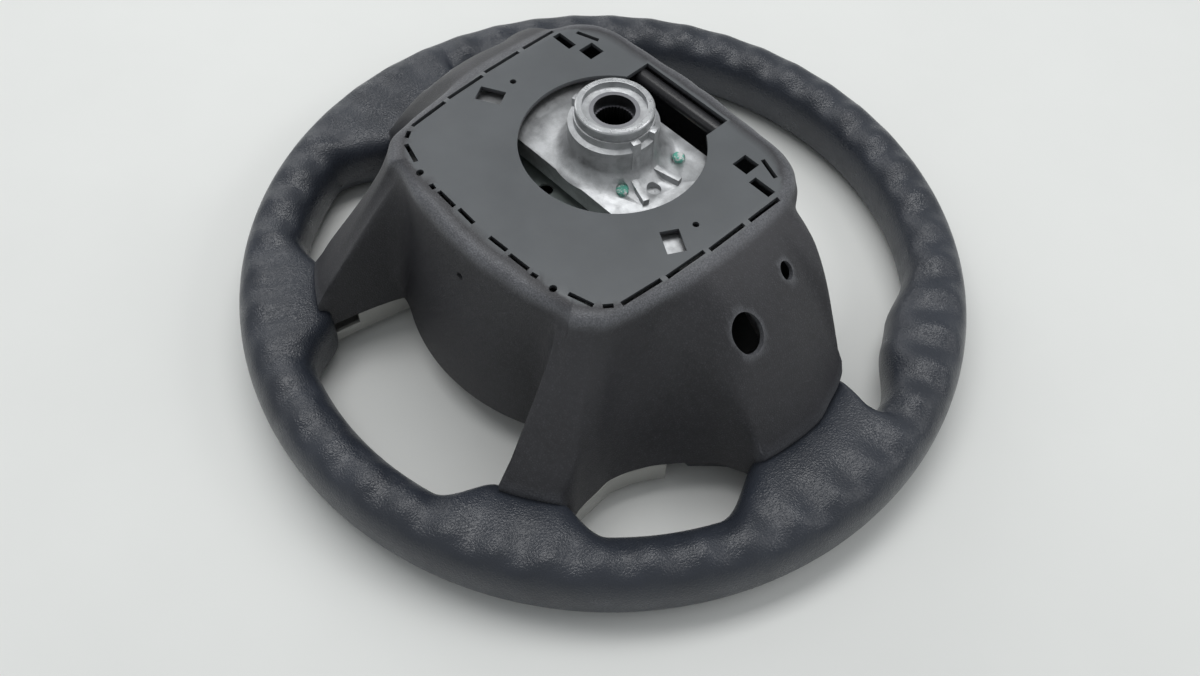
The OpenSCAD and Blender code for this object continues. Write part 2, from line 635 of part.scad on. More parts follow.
module inflator() color([0.68, 0.69, 0.7]) {
    flange_z = module_z - 2;
    rotate_extrude($fn = 96) polygon([[0, 48], [inflator_r - 4, 48], [inflator_r, 52], [inflator_r, flange_z],
        [inflator_r + 8, flange_z], [inflator_r + 8, module_z], [inflator_r - 6.4, module_z],
        [inflator_r - 6.4, module_z + 5], [inflator_r - 10, module_z + 7], [0, module_z + 7]]);
    for (a = [45 : 90 : 315]) rotate(a) translate([inflator_r + 4, 0, module_z]) cylinder(r = 2.4, h = 7);
}

module folded_cushion() color([0.86, 0.85, 0.8]) {
    w = tuck_w - 2 * pad_skin - 2;
    h = tuck_h - 2 * pad_skin - 2;
    folds = 5;
    // Pleats of the folded bag, narrower at each crease
    for (i = [0 : folds - 1]) translate([0, tuck_y, 17 + i * 6]) {
        linear_extrude(4.5) round_rect(w, h, 9);
        if (i < folds - 1) translate([0, 0, 4.5]) linear_extrude(1.5) round_rect(w - 6, h - 6, 9);
    }
    translate([0, tuck_y, 45.5]) linear_extrude(2.2) round_rect(w - 14, h - 14, 9);
}

module inflator_nuts() color([0.6, 0.58, 0.5]) {
    for (a = [45 : 90 : 315]) rotate(a) translate([inflator_r + 4, 0, module_z + sheet_t]) difference() {
        cylinder(r = 5, h = 4, $fn = 6);
        translate([0, 0, -1]) cylinder(r = 2.6, h = 6);
    }
}

module guide_pins() color([0.58, 0.58, 0.6]) {
    for (p = pin_places) translate([p.x, p.y, 0]) {
        translate([0, 0, module_z - 1.2]) cylinder(r = 4, h = 1.2);
        translate([0, 0, module_z - eps]) cylinder(r = 2, h = sheet_t + 2 * eps);
        translate([0, 0, module_z + sheet_t]) cylinder(r = guide_r, h = horn_plate_z - module_z + seat_gap);
        translate([0, 0, horn_plate_z + sheet_t + seat_gap]) cylinder(r = 5, h = 2.4);
    }
}

module moving_contacts() color([0.72, 0.5, 0.3]) {
    top = horn_plate_z - 1.2 - horn_travel - 0.15;
    for (p = contact_places) translate([p.x, p.y, 0]) {
        translate([0, 0, module_z]) cylinder(r = 1.5, h = sheet_t + 1);
        translate([0, 0, module_z + sheet_t]) cylinder(r = contact_r, h = top - module_z - sheet_t);
    }
}

// SPOKE BEZELS, TRIMS AND SWITCHES on the front of the spokes
front_top = skirt_z - seat_gap;
window_c = [112, 1];
window_size = [19, 40];
housing_wall = 1.6;

module side_front_outline() {
    difference() {
        polygon([[84, 42], [94, 38], [101, 36.4], [112, 33.6], [124, 31],
            side_tip(11.4), side_tip(6), side_tip(0), side_tip(-6), side_tip(-10.6),
            [134, -27], [125, -31], [117, -39], [108.5, -48], [84, -48]]);
        pad_outline(seam_gap);
    }
}
function side_tip(b) = polar(b, side_edge(b));

module shell_from(z0, z1, wall) {
    difference() {
        translate([0, 0, z0]) linear_extrude(z1 - z0) children();
        translate([0, 0, z0 + wall]) linear_extrude(z1 - z0) offset(delta = -wall) children();
    }
}

module spoke_bezel() {
    difference() {
        shell_from(bezel_z, front_top, bezel_wall) side_front_outline();
        translate([window_c.x, window_c.y, bezel_z - 1]) linear_extrude(bezel_wall + 2)
            round_rect(window_size.x, window_size.y, 4);
        // Room for the spoke bar, and blind holes for the switch screws
        translate([side_joint_r - 14, -20, rim_mid_z - core_r - 1]) cube([16, 40, 20]);
        for (e = ear_spots) translate([e.x, e.y, housing_z - 1.5]) cylinder(r = 1.25, h = 3, $fn = 24);
    }
}

module right_spoke_bezel() color([0.24, 0.24, 0.25]) spoke_bezel();
module left_spoke_bezel() color([0.24, 0.24, 0.25]) mirror([1, 0, 0]) spoke_bezel();

module lower_front_outline() {
    difference() {
        polygon(concat([polar(low_a + 1.6, pad_r - 4), polar(low_a + 1.6, skirt_r + 1)],
            [for (b = [low_a - 4.8, low_a - 2, low_a + 2, low_a + 6]) polar(b, lower_end)],
            [polar(low_a + 8.6, lower_end - 1), polar(low_a + 9.6, lower_end - 6),
                polar(low_a + 12.5, lower_end - 14.6), polar(-43, side_gap_r + 6.2),
                polar(-38, side_gap_r + 1.6), polar(-33, side_gap_r + 0.2), polar(-30, side_gap_r + 0.5),
                polar(-30, pad_r - 4)]));
        pad_outline(seam_gap);
        offset(delta = seam_gap) side_front_outline();
    }
}

module spoke_trim() {
    difference() {
        shell_from(bezel_z, front_top, bezel_wall) lower_front_outline();
        translate([lower_bar_start.x, lower_bar_start.y, rim_mid_z - core_r - 1])
            rotate([0, 0, lower_bar_turn]) translate([lower_bar_len - 16, -13, 0]) cube([20, 26, 20]);
    }
}

module right_spoke_trim() color([0.62, 0.62, 0.6]) spoke_trim();
module left_spoke_trim() color([0.62, 0.62, 0.6]) mirror([1, 0, 0]) spoke_trim();

// Housing behind each bezel, with a pocket for each control
housing_z = bezel_z + bezel_wall;
housing_top = 24;
pivot_z = 15;
pivot_r = 1.2;
rocker_swing_gap = 1;
push_r = 3.9;
flange_z = 13.8;
push_flange = 1.4;
push_spots = [[window_c.x, window_c.y + 15.5], [window_c.x, window_c.y - 15.5]];
ear_spots = [[window_c.x, window_c.y + 25], [window_c.x, window_c.y - 25]];

module switch_housing() {
    difference() {
        union() {
            translate([window_c.x, window_c.y, housing_z]) linear_extrude(housing_top - housing_z)
                round_rect(window_size.x + 4, window_size.y + 4, 3);
            translate([window_c.x, window_c.y, bezel_z + 0.5]) linear_extrude(bezel_wall)
                round_rect(window_size.x - 0.8, window_size.y - 0.8, 3.6);
            for (e = ear_spots) translate([e.x, e.y, housing_z]) linear_extrude(2.6) round_rect(9, 8, 3);
        }
        // Pocket of the rocker, with the holes of its pivot
        translate([window_c.x - rocker_w / 2 - slide_gap,
            window_c.y - rocker_l / 2 - rocker_swing_gap, bezel_z - 1])
            cube([rocker_w + 2 * slide_gap, rocker_l + 2 * rocker_swing_gap, 5]);
        translate([window_c.x - rocker_w / 2 - slide_gap, window_c.y - rocker_l / 2 + 2, bezel_z])
            cube([rocker_w + 2 * slide_gap, rocker_l - 4, 14]);
        translate([window_c.x - rocker_w / 2 - 2, window_c.y, pivot_z]) rotate([0, 90, 0])
            cylinder(r = pivot_r + 0.05, h = rocker_w + 4, $fn = 32);
        // Stepped pockets of the push buttons
        for (p = push_spots) translate([p.x, p.y, bezel_z - 1]) {
            cylinder(r = push_r + slide_gap, h = 12);
            translate([0, 0, flange_z - seat_gap - bezel_z + 1])
                cylinder(r = push_r + 1.3, h = push_flange + 4.1 + button_travel);
        }
        for (e = ear_spots) translate([e.x, e.y, housing_z - 1]) cylinder(r = 1.5, h = 5, $fn = 24);
    }
}

module right_switch_housing() color([0.3, 0.3, 0.32]) switch_housing();
module left_switch_housing() color([0.3, 0.3, 0.32]) mirror([1, 0, 0]) switch_housing();

module switch_screws() color([0.5, 0.5, 0.5]) {
    mirrored() for (e = ear_spots) translate([e.x, e.y, housing_z - 1.3]) {
        cylinder(r = 1.2, h = 4, $fn = 24);
        translate([0, 0, 3.9]) cylinder(r = 2.5, h = 1.6, $fn = 24);
    }
}

// ROCKER: a cap with a waist that swings on its own pivot
module rocker() {
    front = bezel_z - button_proud;
    cap_low = housing_z + 0.2;
    translate([window_c.x, window_c.y, 0]) {
        translate([-rocker_w / 2, 0, 0]) rotate([90, 0, 90]) linear_extrude(rocker_w)
            polygon([[-rocker_l / 2, front + 0.8], [-rocker_l / 2 + 1.5, front],
                [-3, front + 0.7], [3, front + 0.7],
                [rocker_l / 2 - 1.5, front], [rocker_l / 2, front + 0.8], [rocker_l / 2, cap_low],
                [rocker_l / 2 - 3.5, cap_low], [rocker_l / 2 - 3.5, 17.4], [3.5 - rocker_l / 2, 17.4],
                [3.5 - rocker_l / 2, cap_low], [-rocker_l / 2, cap_low]]);
        translate([-rocker_w / 2 - 1.6, 0, pivot_z]) rotate([0, 90, 0])
            cylinder(r = pivot_r, h = rocker_w + 3.2, $fn = 32);
    }
}

// PUSH BUTTON: turned shape with a flange that keeps it in the housing
module push_button(spot) {
    front = bezel_z - button_proud;
    translate([spot.x, spot.y, 0]) rotate_extrude($fn = 48)
        polygon([[0, front], [push_r - 0.8, front], [push_r, front + 0.7], [push_r, flange_z],
            [push_r + 0.9, flange_z], [push_r + 0.9, flange_z + push_flange], [0, flange_z + push_flange]]);
}

control_colour = [0.2, 0.2, 0.21];
module right_rocker() color(control_colour) rocker();
module right_upper_button() color(control_colour) push_button(push_spots[0]);
module right_lower_button() color(control_colour) push_button(push_spots[1]);
module left_rocker() color(control_colour) mirror([1, 0, 0]) rocker();
module left_upper_button() color(control_colour) mirror([1, 0, 0]) push_button(push_spots[0]);
module left_lower_button() color(control_colour) mirror([1, 0, 0]) push_button(push_spots[1]);

armature();
spline_bush();
locating_pins();
rim_grip();
rear_cover();
cover_screws();
horn_plate();
airbag_bolts();
fixed_contacts();
horn_springs();
right_spoke_bezel();
left_spoke_bezel();
right_spoke_trim();
left_spoke_trim();
right_switch_housing();
left_switch_housing();
switch_screws();
pad_cover();
module_plate();
inflator();
folded_cushion();
inflator_nuts();
guide_pins();
moving_contacts();
right_rocker();
right_upper_button();
right_lower_button();
left_rocker();
left_upper_button();
left_lower_button();
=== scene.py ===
"""Looks of a car steering wheel that lies face down.

Places are in millimetres and angles in degrees, unless a setting has a unit of its own.
"""

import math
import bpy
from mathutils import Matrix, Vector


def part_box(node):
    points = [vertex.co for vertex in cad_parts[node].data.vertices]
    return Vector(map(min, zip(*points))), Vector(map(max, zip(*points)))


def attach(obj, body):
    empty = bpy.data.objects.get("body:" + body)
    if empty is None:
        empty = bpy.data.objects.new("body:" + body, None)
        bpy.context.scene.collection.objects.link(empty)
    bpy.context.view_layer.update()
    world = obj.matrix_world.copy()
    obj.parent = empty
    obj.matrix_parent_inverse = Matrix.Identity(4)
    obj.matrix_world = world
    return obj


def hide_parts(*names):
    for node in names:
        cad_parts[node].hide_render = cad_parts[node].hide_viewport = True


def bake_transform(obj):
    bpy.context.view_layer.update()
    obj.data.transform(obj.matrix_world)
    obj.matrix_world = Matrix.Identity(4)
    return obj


bl_info = {
    "name": "Steering wheel looks",
    "version": (1, 0, 0),
    "blender": (4, 5, 0),
    "location": "3D View > Sidebar > Wheel",
    "description": "Dresses the packed steering wheel with moulded, cast and grained finishes",
    "category": "Object",
}

import bmesh
import bpy
from bpy.props import FloatProperty, FloatVectorProperty, IntProperty, PointerProperty
from mathutils import Matrix, Vector

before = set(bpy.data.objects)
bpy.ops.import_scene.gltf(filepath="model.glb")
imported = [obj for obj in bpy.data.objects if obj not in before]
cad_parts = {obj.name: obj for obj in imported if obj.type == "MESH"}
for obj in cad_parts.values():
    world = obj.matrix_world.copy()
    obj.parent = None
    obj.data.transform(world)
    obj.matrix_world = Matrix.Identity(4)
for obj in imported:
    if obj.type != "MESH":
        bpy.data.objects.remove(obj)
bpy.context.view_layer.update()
MM = 0.001
ROOT = "wheel_frame"
PAD = "horn_pad"


# Sizes and colours


class GripSettings(bpy.types.PropertyGroup):
    """The foam grip round the rim."""

    radius: FloatProperty(name="Outer radius", description="Outside of the rim", default=0.190, unit="LENGTH")
    width: FloatProperty(name="Section width", description="Radial width of the grip", default=0.0306,
                         unit="LENGTH")
    height: FloatProperty(name="Section height", description="Height of the grip", default=0.0396,
                          unit="LENGTH")
    bumps: IntProperty(name="Finger bumps", description="Bumps round the rear of the rim", default=48)
    depth: FloatProperty(name="Bump depth", description="Depth of the valleys", default=0.0021,
                         unit="LENGTH")
    colour: FloatVectorProperty(name="Grip colour", description="Skin of the foam", subtype="COLOR",
                                default=(0.024, 0.028, 0.037))
    roughness: FloatProperty(name="Roughness", description="Gloss of the skin", default=0.31, min=0, max=1)


class ShroudSettings(bpy.types.PropertyGroup):
    """The moulded rear cover."""

    wall: FloatProperty(name="Wall", description="Thickness of the moulding", default=0.0023,
                        unit="LENGTH")
    grained: FloatVectorProperty(name="Grained colour", description="Slopes and arms", subtype="COLOR",
                                 default=(0.022, 0.022, 0.025))
    satin: FloatVectorProperty(name="Satin colour", description="Smooth field of the rear face",
                               subtype="COLOR", default=(0.085, 0.092, 0.098))
    # The worn colour is partly rubbed wear and partly a painted highlight on the rounded edges and the ends
    # of the arms.
    worn_and_highlit: FloatVectorProperty(name="Worn colour", description="Rubbed edges", subtype="COLOR",
                              default=(0.16, 0.165, 0.18))


class MetalSettings(bpy.types.PropertyGroup):
    """The casting and the sheet metal."""

    cast: FloatVectorProperty(name="Casting colour", description="Bare die casting", subtype="COLOR",
                              default=(0.50, 0.51, 0.52))
    # The zinc colour is set lighter than the sheet's own, as painted light for the shade the sheet lies in.
    zinc_with_painted_light: FloatVectorProperty(name="Zinc colour", description="Passivated sheet", subtype="COLOR",
                              default=(0.44, 0.50, 0.48))
    edge: FloatProperty(name="Edge rounding", description="Rounding of cast edges", default=0.0006,
                        unit="LENGTH")


class FrontSettings(bpy.types.PropertyGroup):
    """The horn pad, bezels and switches on the front."""

    pad: FloatVectorProperty(name="Pad colour", description="Skin of the horn pad", subtype="COLOR",
                             default=(0.030, 0.031, 0.034))
    trim: FloatVectorProperty(name="Trim colour", description="Painted trims", subtype="COLOR",
                              default=(0.42, 0.42, 0.40))
    bezel: FloatVectorProperty(name="Bezel colour", description="Bezels round the switches", subtype="COLOR",
                               default=(0.045, 0.045, 0.05))


class StudioSettings(bpy.types.PropertyGroup):
    """Floor, lamps and sky."""

    floor: FloatVectorProperty(name="Floor colour", description="Pale board", subtype="COLOR",
                               default=(0.82, 0.83, 0.81))
    key: FloatProperty(name="Key lamp", description="Power of the large lamp", default=12.0, min=0,
                       unit="POWER")
    sky: FloatProperty(name="Sky", description="Strength of the surrounding light", default=0.42, min=0)


# Small helpers


def settings(name):
    """The group of settings of that name."""
    return getattr(bpy.context.scene, name)


def mix(a, b, t):
    return a + (b - a) * t


def ease(t):
    u = max(0.0, min(1.0, t))
    return u * u * (3 - 2 * u)


def window(d, half, blend):
    """1 within half of zero, easing to 0 over blend."""
    return 1 - ease((abs(d) - half) / blend)


def fold(a):
    """The angle above or below the nearer side spoke, for an angle round the wheel."""
    a = (a + 90) % 360 - 90
    return 180 - a if a > 90 else a


def polar(a, r):
    return r * math.cos(math.radians(a)), r * math.sin(math.radians(a))


def curve_through(points):
    """A smooth curve through points that never swings past them."""
    xs, ys = [p[0] for p in points], [p[1] for p in points]
    h = [b - a for a, b in zip(xs, xs[1:])]
    m = [(b - a) / s for a, b, s in zip(ys, ys[1:], h)]
    d = [m[0]]
    for i in range(1, len(m)):
        d.append(0 if m[i - 1] * m[i] <= 0 else 2 * m[i - 1] * m[i] / (m[i - 1] + m[i]))
    d.append(m[-1])

    def value(x):
        if x <= xs[0]:
            return ys[0]
        if x >= xs[-1]:
            return ys[-1]
        i = next(k for k in range(len(h)) if x <= xs[k + 1])
        t = (x - xs[i]) / h[i]
        return ((1 + 2 * t) * (1 - t) ** 2 * ys[i] + t * (1 - t) ** 2 * h[i] * d[i]
                + t * t * (3 - 2 * t) * ys[i + 1] + t * t * (t - 1) * h[i] * d[i + 1])

    return value


def to_object(bm, name, body, slot, finish, *replaced, sharp=32):
    """Turns a finished bmesh into a piece that rides on a body, if one is given."""
    mesh = bpy.data.meshes.new(name)
    bm.to_mesh(mesh)
    bm.free()
    smooth(mesh, sharp)
    piece = bpy.data.objects.new(name, mesh)
    bpy.context.scene.collection.objects.link(piece)
    mesh.materials.append(finish)
    if body:
        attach(piece, body)
    if replaced:
        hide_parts(*replaced)
    return piece


def applied(piece):
    """Puts the result of a piece's modifiers into its mesh."""
    depsgraph = bpy.context.evaluated_depsgraph_get()
    mesh = bpy.data.meshes.new_from_object(piece.evaluated_get(depsgraph))
    piece.modifiers.clear()
    piece.data = mesh
    return mesh


def node_copy(name):
    """A merged copy of a CAD node's mesh."""
    bm = bmesh.new()
    bm.from_mesh(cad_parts[name].data)
    bmesh.ops.remove_doubles(bm, verts=bm.verts, dist=1e-6)
    bmesh.ops.dissolve_limit(bm, angle_limit=math.radians(0.5), verts=bm.verts, edges=bm.edges,
                             delimit={"SHARP"})
    return bm


def add_block(bm, size, place, turn=None):
    """A box of that size in millimetres, turned and then put in place."""
    matrix = Matrix.Translation(Vector(place) * MM) @ (turn or Matrix()) @ Matrix.Diagonal(
        (size[0] * MM, size[1] * MM, size[2] * MM, 1))
    bmesh.ops.create_cube(bm, size=1, matrix=matrix)


def add_drum(bm, r, height, place, turn=None, segments=48):
    """A cylinder in millimetres, centred on its place."""
    matrix = Matrix.Translation(Vector(place) * MM) @ (turn or Matrix())
    bmesh.ops.create_cone(bm, cap_ends=True, segments=segments, radius1=r * MM, radius2=r * MM,
                          depth=height * MM, matrix=matrix)


def rounded(piece, width, segments=3, angle=35):
    """Rounds the edges of a piece that are sharper than an angle."""
    bevel = piece.modifiers.new("Rounding", "BEVEL")
    bevel.width = width
    bevel.segments = segments
    bevel.limit_method = "ANGLE"
    bevel.angle_limit = math.radians(angle)
    bevel.miter_outer = "MITER_ARC"
    bevel.use_clamp_overlap = True


def drawn(bm, count, levels, place):
    """Extrudes a ring of points level by level; place gives a point's position in millimetres."""
    ring = bmesh.ops.create_circle(bm, segments=count, radius=1)["verts"]
    ring.sort(key=lambda v: math.atan2(v.co.y, v.co.x))
    rings = []
    for level in range(levels):
        for i, v in enumerate(ring):
            v.co = Vector(place(i, level)) * MM
        rings.append(ring)
        if level == levels - 1:
            break
        edges = [bm.edges.get((ring[i], ring[(i + 1) % count])) for i in range(count)]
        made = set(bmesh.ops.extrude_edge_only(bm, edges=edges)["geom"])
        ring = [next(e.other_vert(v) for e in v.link_edges if e.other_vert(v) in made) for v in ring]
    return rings


def capped(bm, ring):
    """Closes a ring with a fan of faces that meet in its middle."""
    edges = [bm.edges.get((v, w)) for v, w in zip(ring, ring[1:] + ring[:1])]
    centre = sum((v.co for v in ring), Vector()) / len(ring)
    made = bmesh.ops.extrude_edge_only(bm, edges=edges)["geom"]
    tips = [v for v in made if isinstance(v, bmesh.types.BMVert)]
    bmesh.ops.pointmerge(bm, verts=tips, merge_co=centre)


def facing(bm, axis, sign):
    """Turns an open skin so that its furthest face along an axis looks that way."""
    bmesh.ops.recalc_face_normals(bm, faces=bm.faces)
    face = max(bm.faces, key=lambda f: sign * f.calc_center_median()[axis])
    if face.normal[axis] * sign < 0:
        bmesh.ops.reverse_faces(bm, faces=bm.faces)


def smooth(mesh, sharp):
    mesh.shade_smooth()
    mesh.set_sharp_from_angle(angle=math.radians(sharp))


# Finishes


class Finish:
    """A material whose nodes read the piece's own coordinates, in millimetres."""

    def __init__(self, name, colour, roughness, metallic=0.0, specular=0.5):
        self.material = bpy.data.materials.new(name)
        self.material.use_nodes = True
        self.tree = self.material.node_tree
        self.shader = self.tree.nodes["Principled BSDF"]
        self.shader.inputs["Base Color"].default_value = (*colour, 1)
        self.shader.inputs["Roughness"].default_value = roughness
        self.shader.inputs["Metallic"].default_value = metallic
        self.shader.inputs["Specular IOR Level"].default_value = specular
        self.material.diffuse_color = (*colour, 1)
        where = self.node("ShaderNodeTexCoord")
        self.place = self.node("ShaderNodeVectorMath", operation="SCALE")
        self.join(where.outputs["Object"], self.place.inputs[0])
        self.place.inputs["Scale"].default_value = 1000
        self.place = self.place.outputs[0]

    def node(self, kind, **values):
        made = self.tree.nodes.new(kind)
        for key, value in values.items():
            setattr(made, key, value)
        return made

    def join(self, a, b):
        self.tree.links.new(a, b)

    def noise(self, size, detail=3.0, rough=0.55, warp=0.0):
        """Cloudy noise whose features are about size millimetres."""
        made = self.node("ShaderNodeTexNoise")
        made.inputs["Scale"].default_value = 1 / size
        made.inputs["Detail"].default_value = detail
        made.inputs["Roughness"].default_value = rough
        made.inputs["Distortion"].default_value = warp
        self.join(self.place, made.inputs["Vector"])
        return made.outputs["Fac"]

    def cells(self, size, feature="F1", at=None):
        """Distance inside cells of about size millimetres."""
        made = self.node("ShaderNodeTexVoronoi", feature=feature)
        made.inputs["Scale"].default_value = 1 / size
        self.join(at or self.place, made.inputs["Vector"])
        return made.outputs["Distance"]

    def warped(self, size, reach):
        """Coordinates pushed about by noise."""
        made = self.node("ShaderNodeTexNoise")
        made.inputs["Scale"].default_value = 1 / size
        made.inputs["Detail"].default_value = 2
        self.join(self.place, made.inputs["Vector"])
        centred = self.node("ShaderNodeVectorMath", operation="SUBTRACT")
        self.join(made.outputs["Color"], centred.inputs[0])
        centred.inputs[1].default_value = (0.5, 0.5, 0.5)
        pushed = self.node("ShaderNodeVectorMath", operation="MULTIPLY_ADD")
        self.join(centred.outputs[0], pushed.inputs[0])
        pushed.inputs[1].default_value = (reach, reach, reach)
        self.join(self.place, pushed.inputs[2])
        return pushed.outputs[0]

    def ramp(self, value, low, high, start=0.0, end=1.0):
        made = self.node("ShaderNodeMapRange", clamp=True)
        made.inputs["From Min"].default_value = low
        made.inputs["From Max"].default_value = high
        made.inputs["To Min"].default_value = start
        made.inputs["To Max"].default_value = end
        self.join(value, made.inputs["Value"])
        return made.outputs["Result"]

    def math(self, operation, a, b=None, c=None):
        made = self.node("ShaderNodeMath", operation=operation)
        for socket, value in zip(made.inputs, (a, b, c)):
            if value is None:
                continue
            if isinstance(value, (int, float)):
                socket.default_value = value
            else:
                self.join(value, socket)
        return made.outputs[0]

    def blend(self, factor, a, b):
        """Mixes two colours, each a tuple or a socket."""
        made = self.node("ShaderNodeMix", data_type="RGBA")
        for name, value in (("Factor", factor), ("A", a), ("B", b)):
            socket = next(s for s in made.inputs if s.name == name and s.enabled)
            if isinstance(value, tuple):
                socket.default_value = (*value, 1)
            elif isinstance(value, (int, float)):
                socket.default_value = value
            else:
                self.join(value, socket)
        return next(s for s in made.outputs if s.enabled)

    def attribute(self, name):
        return self.node("ShaderNodeAttribute", attribute_name=name).outputs["Fac"]

    def axis(self, name):
        """One coordinate of the piece, in millimetres."""
        made = self.node("ShaderNodeSeparateXYZ")
        self.join(self.place, made.inputs[0])
        return made.outputs[name]

    def colour(self, socket):
        self.join(socket, self.shader.inputs["Base Color"])

    def gloss(self, socket):
        self.join(socket, self.shader.inputs["Roughness"])

    def bump(self, *layers):
        """Adds relief; each layer is a height socket and its depth in millimetres."""
        normal = None
        for height, depth in layers:
            made = self.node("ShaderNodeBump")
            made.inputs["Strength"].default_value = 1
            made.inputs["Distance"].default_value = depth * MM
            self.join(height, made.inputs["Height"])
            if normal:
                self.join(normal, made.inputs["Normal"])
            normal = made.outputs["Normal"]
        self.join(normal, self.shader.inputs["Normal"])


def grip_finish():
    """Blue-grey foam skin with a crumpled leather grain."""
    s = settings("wheel_grip")
    f = Finish("grip_foam_skin", s.colour, s.roughness)
    at = f.warped(3.2, 1.6)
    creases = f.ramp(f.cells(1.5, "DISTANCE_TO_EDGE", at), 0.0, 0.32)
    pores = f.cells(0.55, "F1", at)
    swell = f.noise(2.6, 2)
    cloud = f.noise(38, 3)
    tone = f.blend(f.ramp(cloud, 0.35, 0.7), tuple(s.colour), tuple(c * 1.35 for c in s.colour))
    dust = f.ramp(f.noise(7, 6, 0.75), 0.62, 0.80, 0, 0.18)
    f.colour(f.blend(dust, tone, tuple(0.075 + c * 0.8 for c in s.colour)))
    f.gloss(f.ramp(f.noise(11, 4), 0.3, 0.7, s.roughness - 0.06, s.roughness + 0.10))
    f.bump((creases, 0.09), (pores, 0.04), (swell, 0.14))
    return f.material


def shroud_finish():
    """Grained moulding, smooth inside the row of slots; its edges get a lighter colour that is partly rub
    wear and partly painted highlight.
    """
    s = settings("wheel_shroud")
    f = Finish("shroud_plastic", s.grained, 0.55)
    field, wear_and_highlight = f.attribute("satin_field"), f.attribute("edge_wear_and_highlight")
    at = f.warped(2.0, 0.7)
    grain = f.ramp(f.cells(1.15, "DISTANCE_TO_EDGE", at), 0.0, 0.34)
    fine = f.noise(0.5, 3)
    speck = f.ramp(f.noise(0.8, 4, 0.7), 0.42, 0.62)
    patch = f.ramp(f.noise(22, 4, 0.6), 0.30, 0.70, 0.55, 1.0)
    # Lighter colour on the edges, flecked by speck: partly rub wear, partly painted highlight with painted
    # sparkle.
    rub_and_highlight = f.math("MULTIPLY", f.math("MULTIPLY", wear_and_highlight, patch), f.math("MULTIPLY_ADD", speck, 0.6, 0.4))
    base = f.blend(f.ramp(f.noise(45, 3), 0.3, 0.7), tuple(s.grained), tuple(c * 1.5 for c in s.grained))
    mottle = f.math("MULTIPLY", grain, f.ramp(f.noise(2.6, 4, 0.7), 0.35, 0.65))
    base = f.blend(mottle, base, tuple(c * 2.5 for c in s.grained))
    dust = f.ramp(f.noise(5, 8, 0.8), 0.70, 0.80, 0, 0.4)
    base = f.blend(dust, base, (0.10, 0.10, 0.105))
    worn_and_highlit = f.blend(rub_and_highlight, base, tuple(s.worn_and_highlit))
    smear = f.blend(f.ramp(f.noise(30, 5, 0.6), 0.35, 0.7), tuple(s.satin), tuple(c * 1.18 for c in s.satin))
    f.colour(f.blend(field, worn_and_highlit, smear))
    rough = f.math("MULTIPLY_ADD", rub_and_highlight, -0.14, 0.52)
    polish = f.ramp(f.noise(20, 4), 0.3, 0.7, -0.18, -0.08)
    f.gloss(f.math("ADD", rough, f.math("MULTIPLY", field, polish)))
    coarse = f.math("MULTIPLY", grain, f.math("SUBTRACT", 1.0, field))
    f.bump((coarse, 0.09), (fine, 0.015))
    return f.material


def cast_finish():
    """Bare die casting: bright skin, blasted grain and darker hollows."""
    s = settings("wheel_metal")
    f = Finish("bare_casting", s.cast, 0.40, metallic=0.85)
    grain = f.noise(0.5, 4, 0.65)
    flow = f.noise(5.5, 5, 0.62, 0.6)
    stain = f.ramp(f.noise(9, 5, 0.65), 0.42, 0.72)
    tone = f.blend(stain, tuple(s.cast), tuple(c * 0.62 for c in s.cast))
    pits = f.ramp(f.noise(1.1, 3, 0.6), 0.66, 0.76)
    f.colour(f.blend(pits, tone, (0.22, 0.22, 0.23)))
    f.gloss(f.ramp(flow, 0.3, 0.7, 0.36, 0.58))
    f.bump((flow, 0.16), (grain, 0.05))
    return f.material


def turned_finish():
    """Machined metal with fine rings round the hub axis."""
    f = Finish("turned_metal", (0.66, 0.67, 0.68), 0.30, metallic=1.0)
    x, y = f.axis("X"), f.axis("Y")
    radius = f.math("SQRT", f.math("ADD", f.math("MULTIPLY", x, x), f.math("MULTIPLY", y, y)))
    rings = f.math("SINE", f.math("MULTIPLY", radius, 22.0))
    f.bump((rings, 0.006), (f.noise(1.4, 4), 0.02))
    f.colour(f.blend(f.ramp(f.noise(6, 4), 0.4, 0.7), (0.68, 0.69, 0.70), (0.48, 0.49, 0.50)))
    f.gloss(f.ramp(f.noise(3, 3), 0.3, 0.7, 0.24, 0.4))
    return f.material


def bush_finish():
    """Machined steel, darkened towards its lower end as painted shade deeper inside the hub."""
    f = Finish("bush_steel", (0.30, 0.30, 0.32), 0.34, metallic=1.0)
    # Painted shade: dark below 120 mm height, easing to the steel's own colour by 130 mm.
    bore_shade = f.ramp(f.axis("Z"), 120, 130)
    f.colour(f.blend(bore_shade, (0.05, 0.05, 0.055), (0.34, 0.34, 0.36)))
    f.bump((f.noise(0.8, 3), 0.02))
    return f.material


def zinc_finish(name="zinc_sheet", dark=0.0):
    """Passivated sheet steel with faint spangles; the zinc colour from the settings is lighter than the
    sheet's own, as painted light for the shade it lies in.
    """
    s = settings("wheel_metal")
    colour = tuple(c * (1 - dark) for c in s.zinc_with_painted_light)
    f = Finish(name, colour, 0.45, metallic=0.1)
    spangle = f.cells(5.0, "F1", f.warped(4, 2))
    f.colour(f.blend(f.ramp(spangle, 0.1, 0.8), colour, tuple(c * 0.8 for c in colour)))
    f.gloss(f.ramp(f.noise(8, 4), 0.3, 0.7, 0.34, 0.55))
    f.bump((f.noise(2.0, 3), 0.02))
    return f.material


def plain_metal(name, colour, roughness):
    f = Finish(name, colour, roughness, metallic=1.0)
    f.colour(f.blend(f.ramp(f.noise(2.4, 4), 0.35, 0.7), colour, tuple(c * 0.75 for c in colour)))
    f.bump((f.noise(0.7, 3), 0.012))
    return f.material


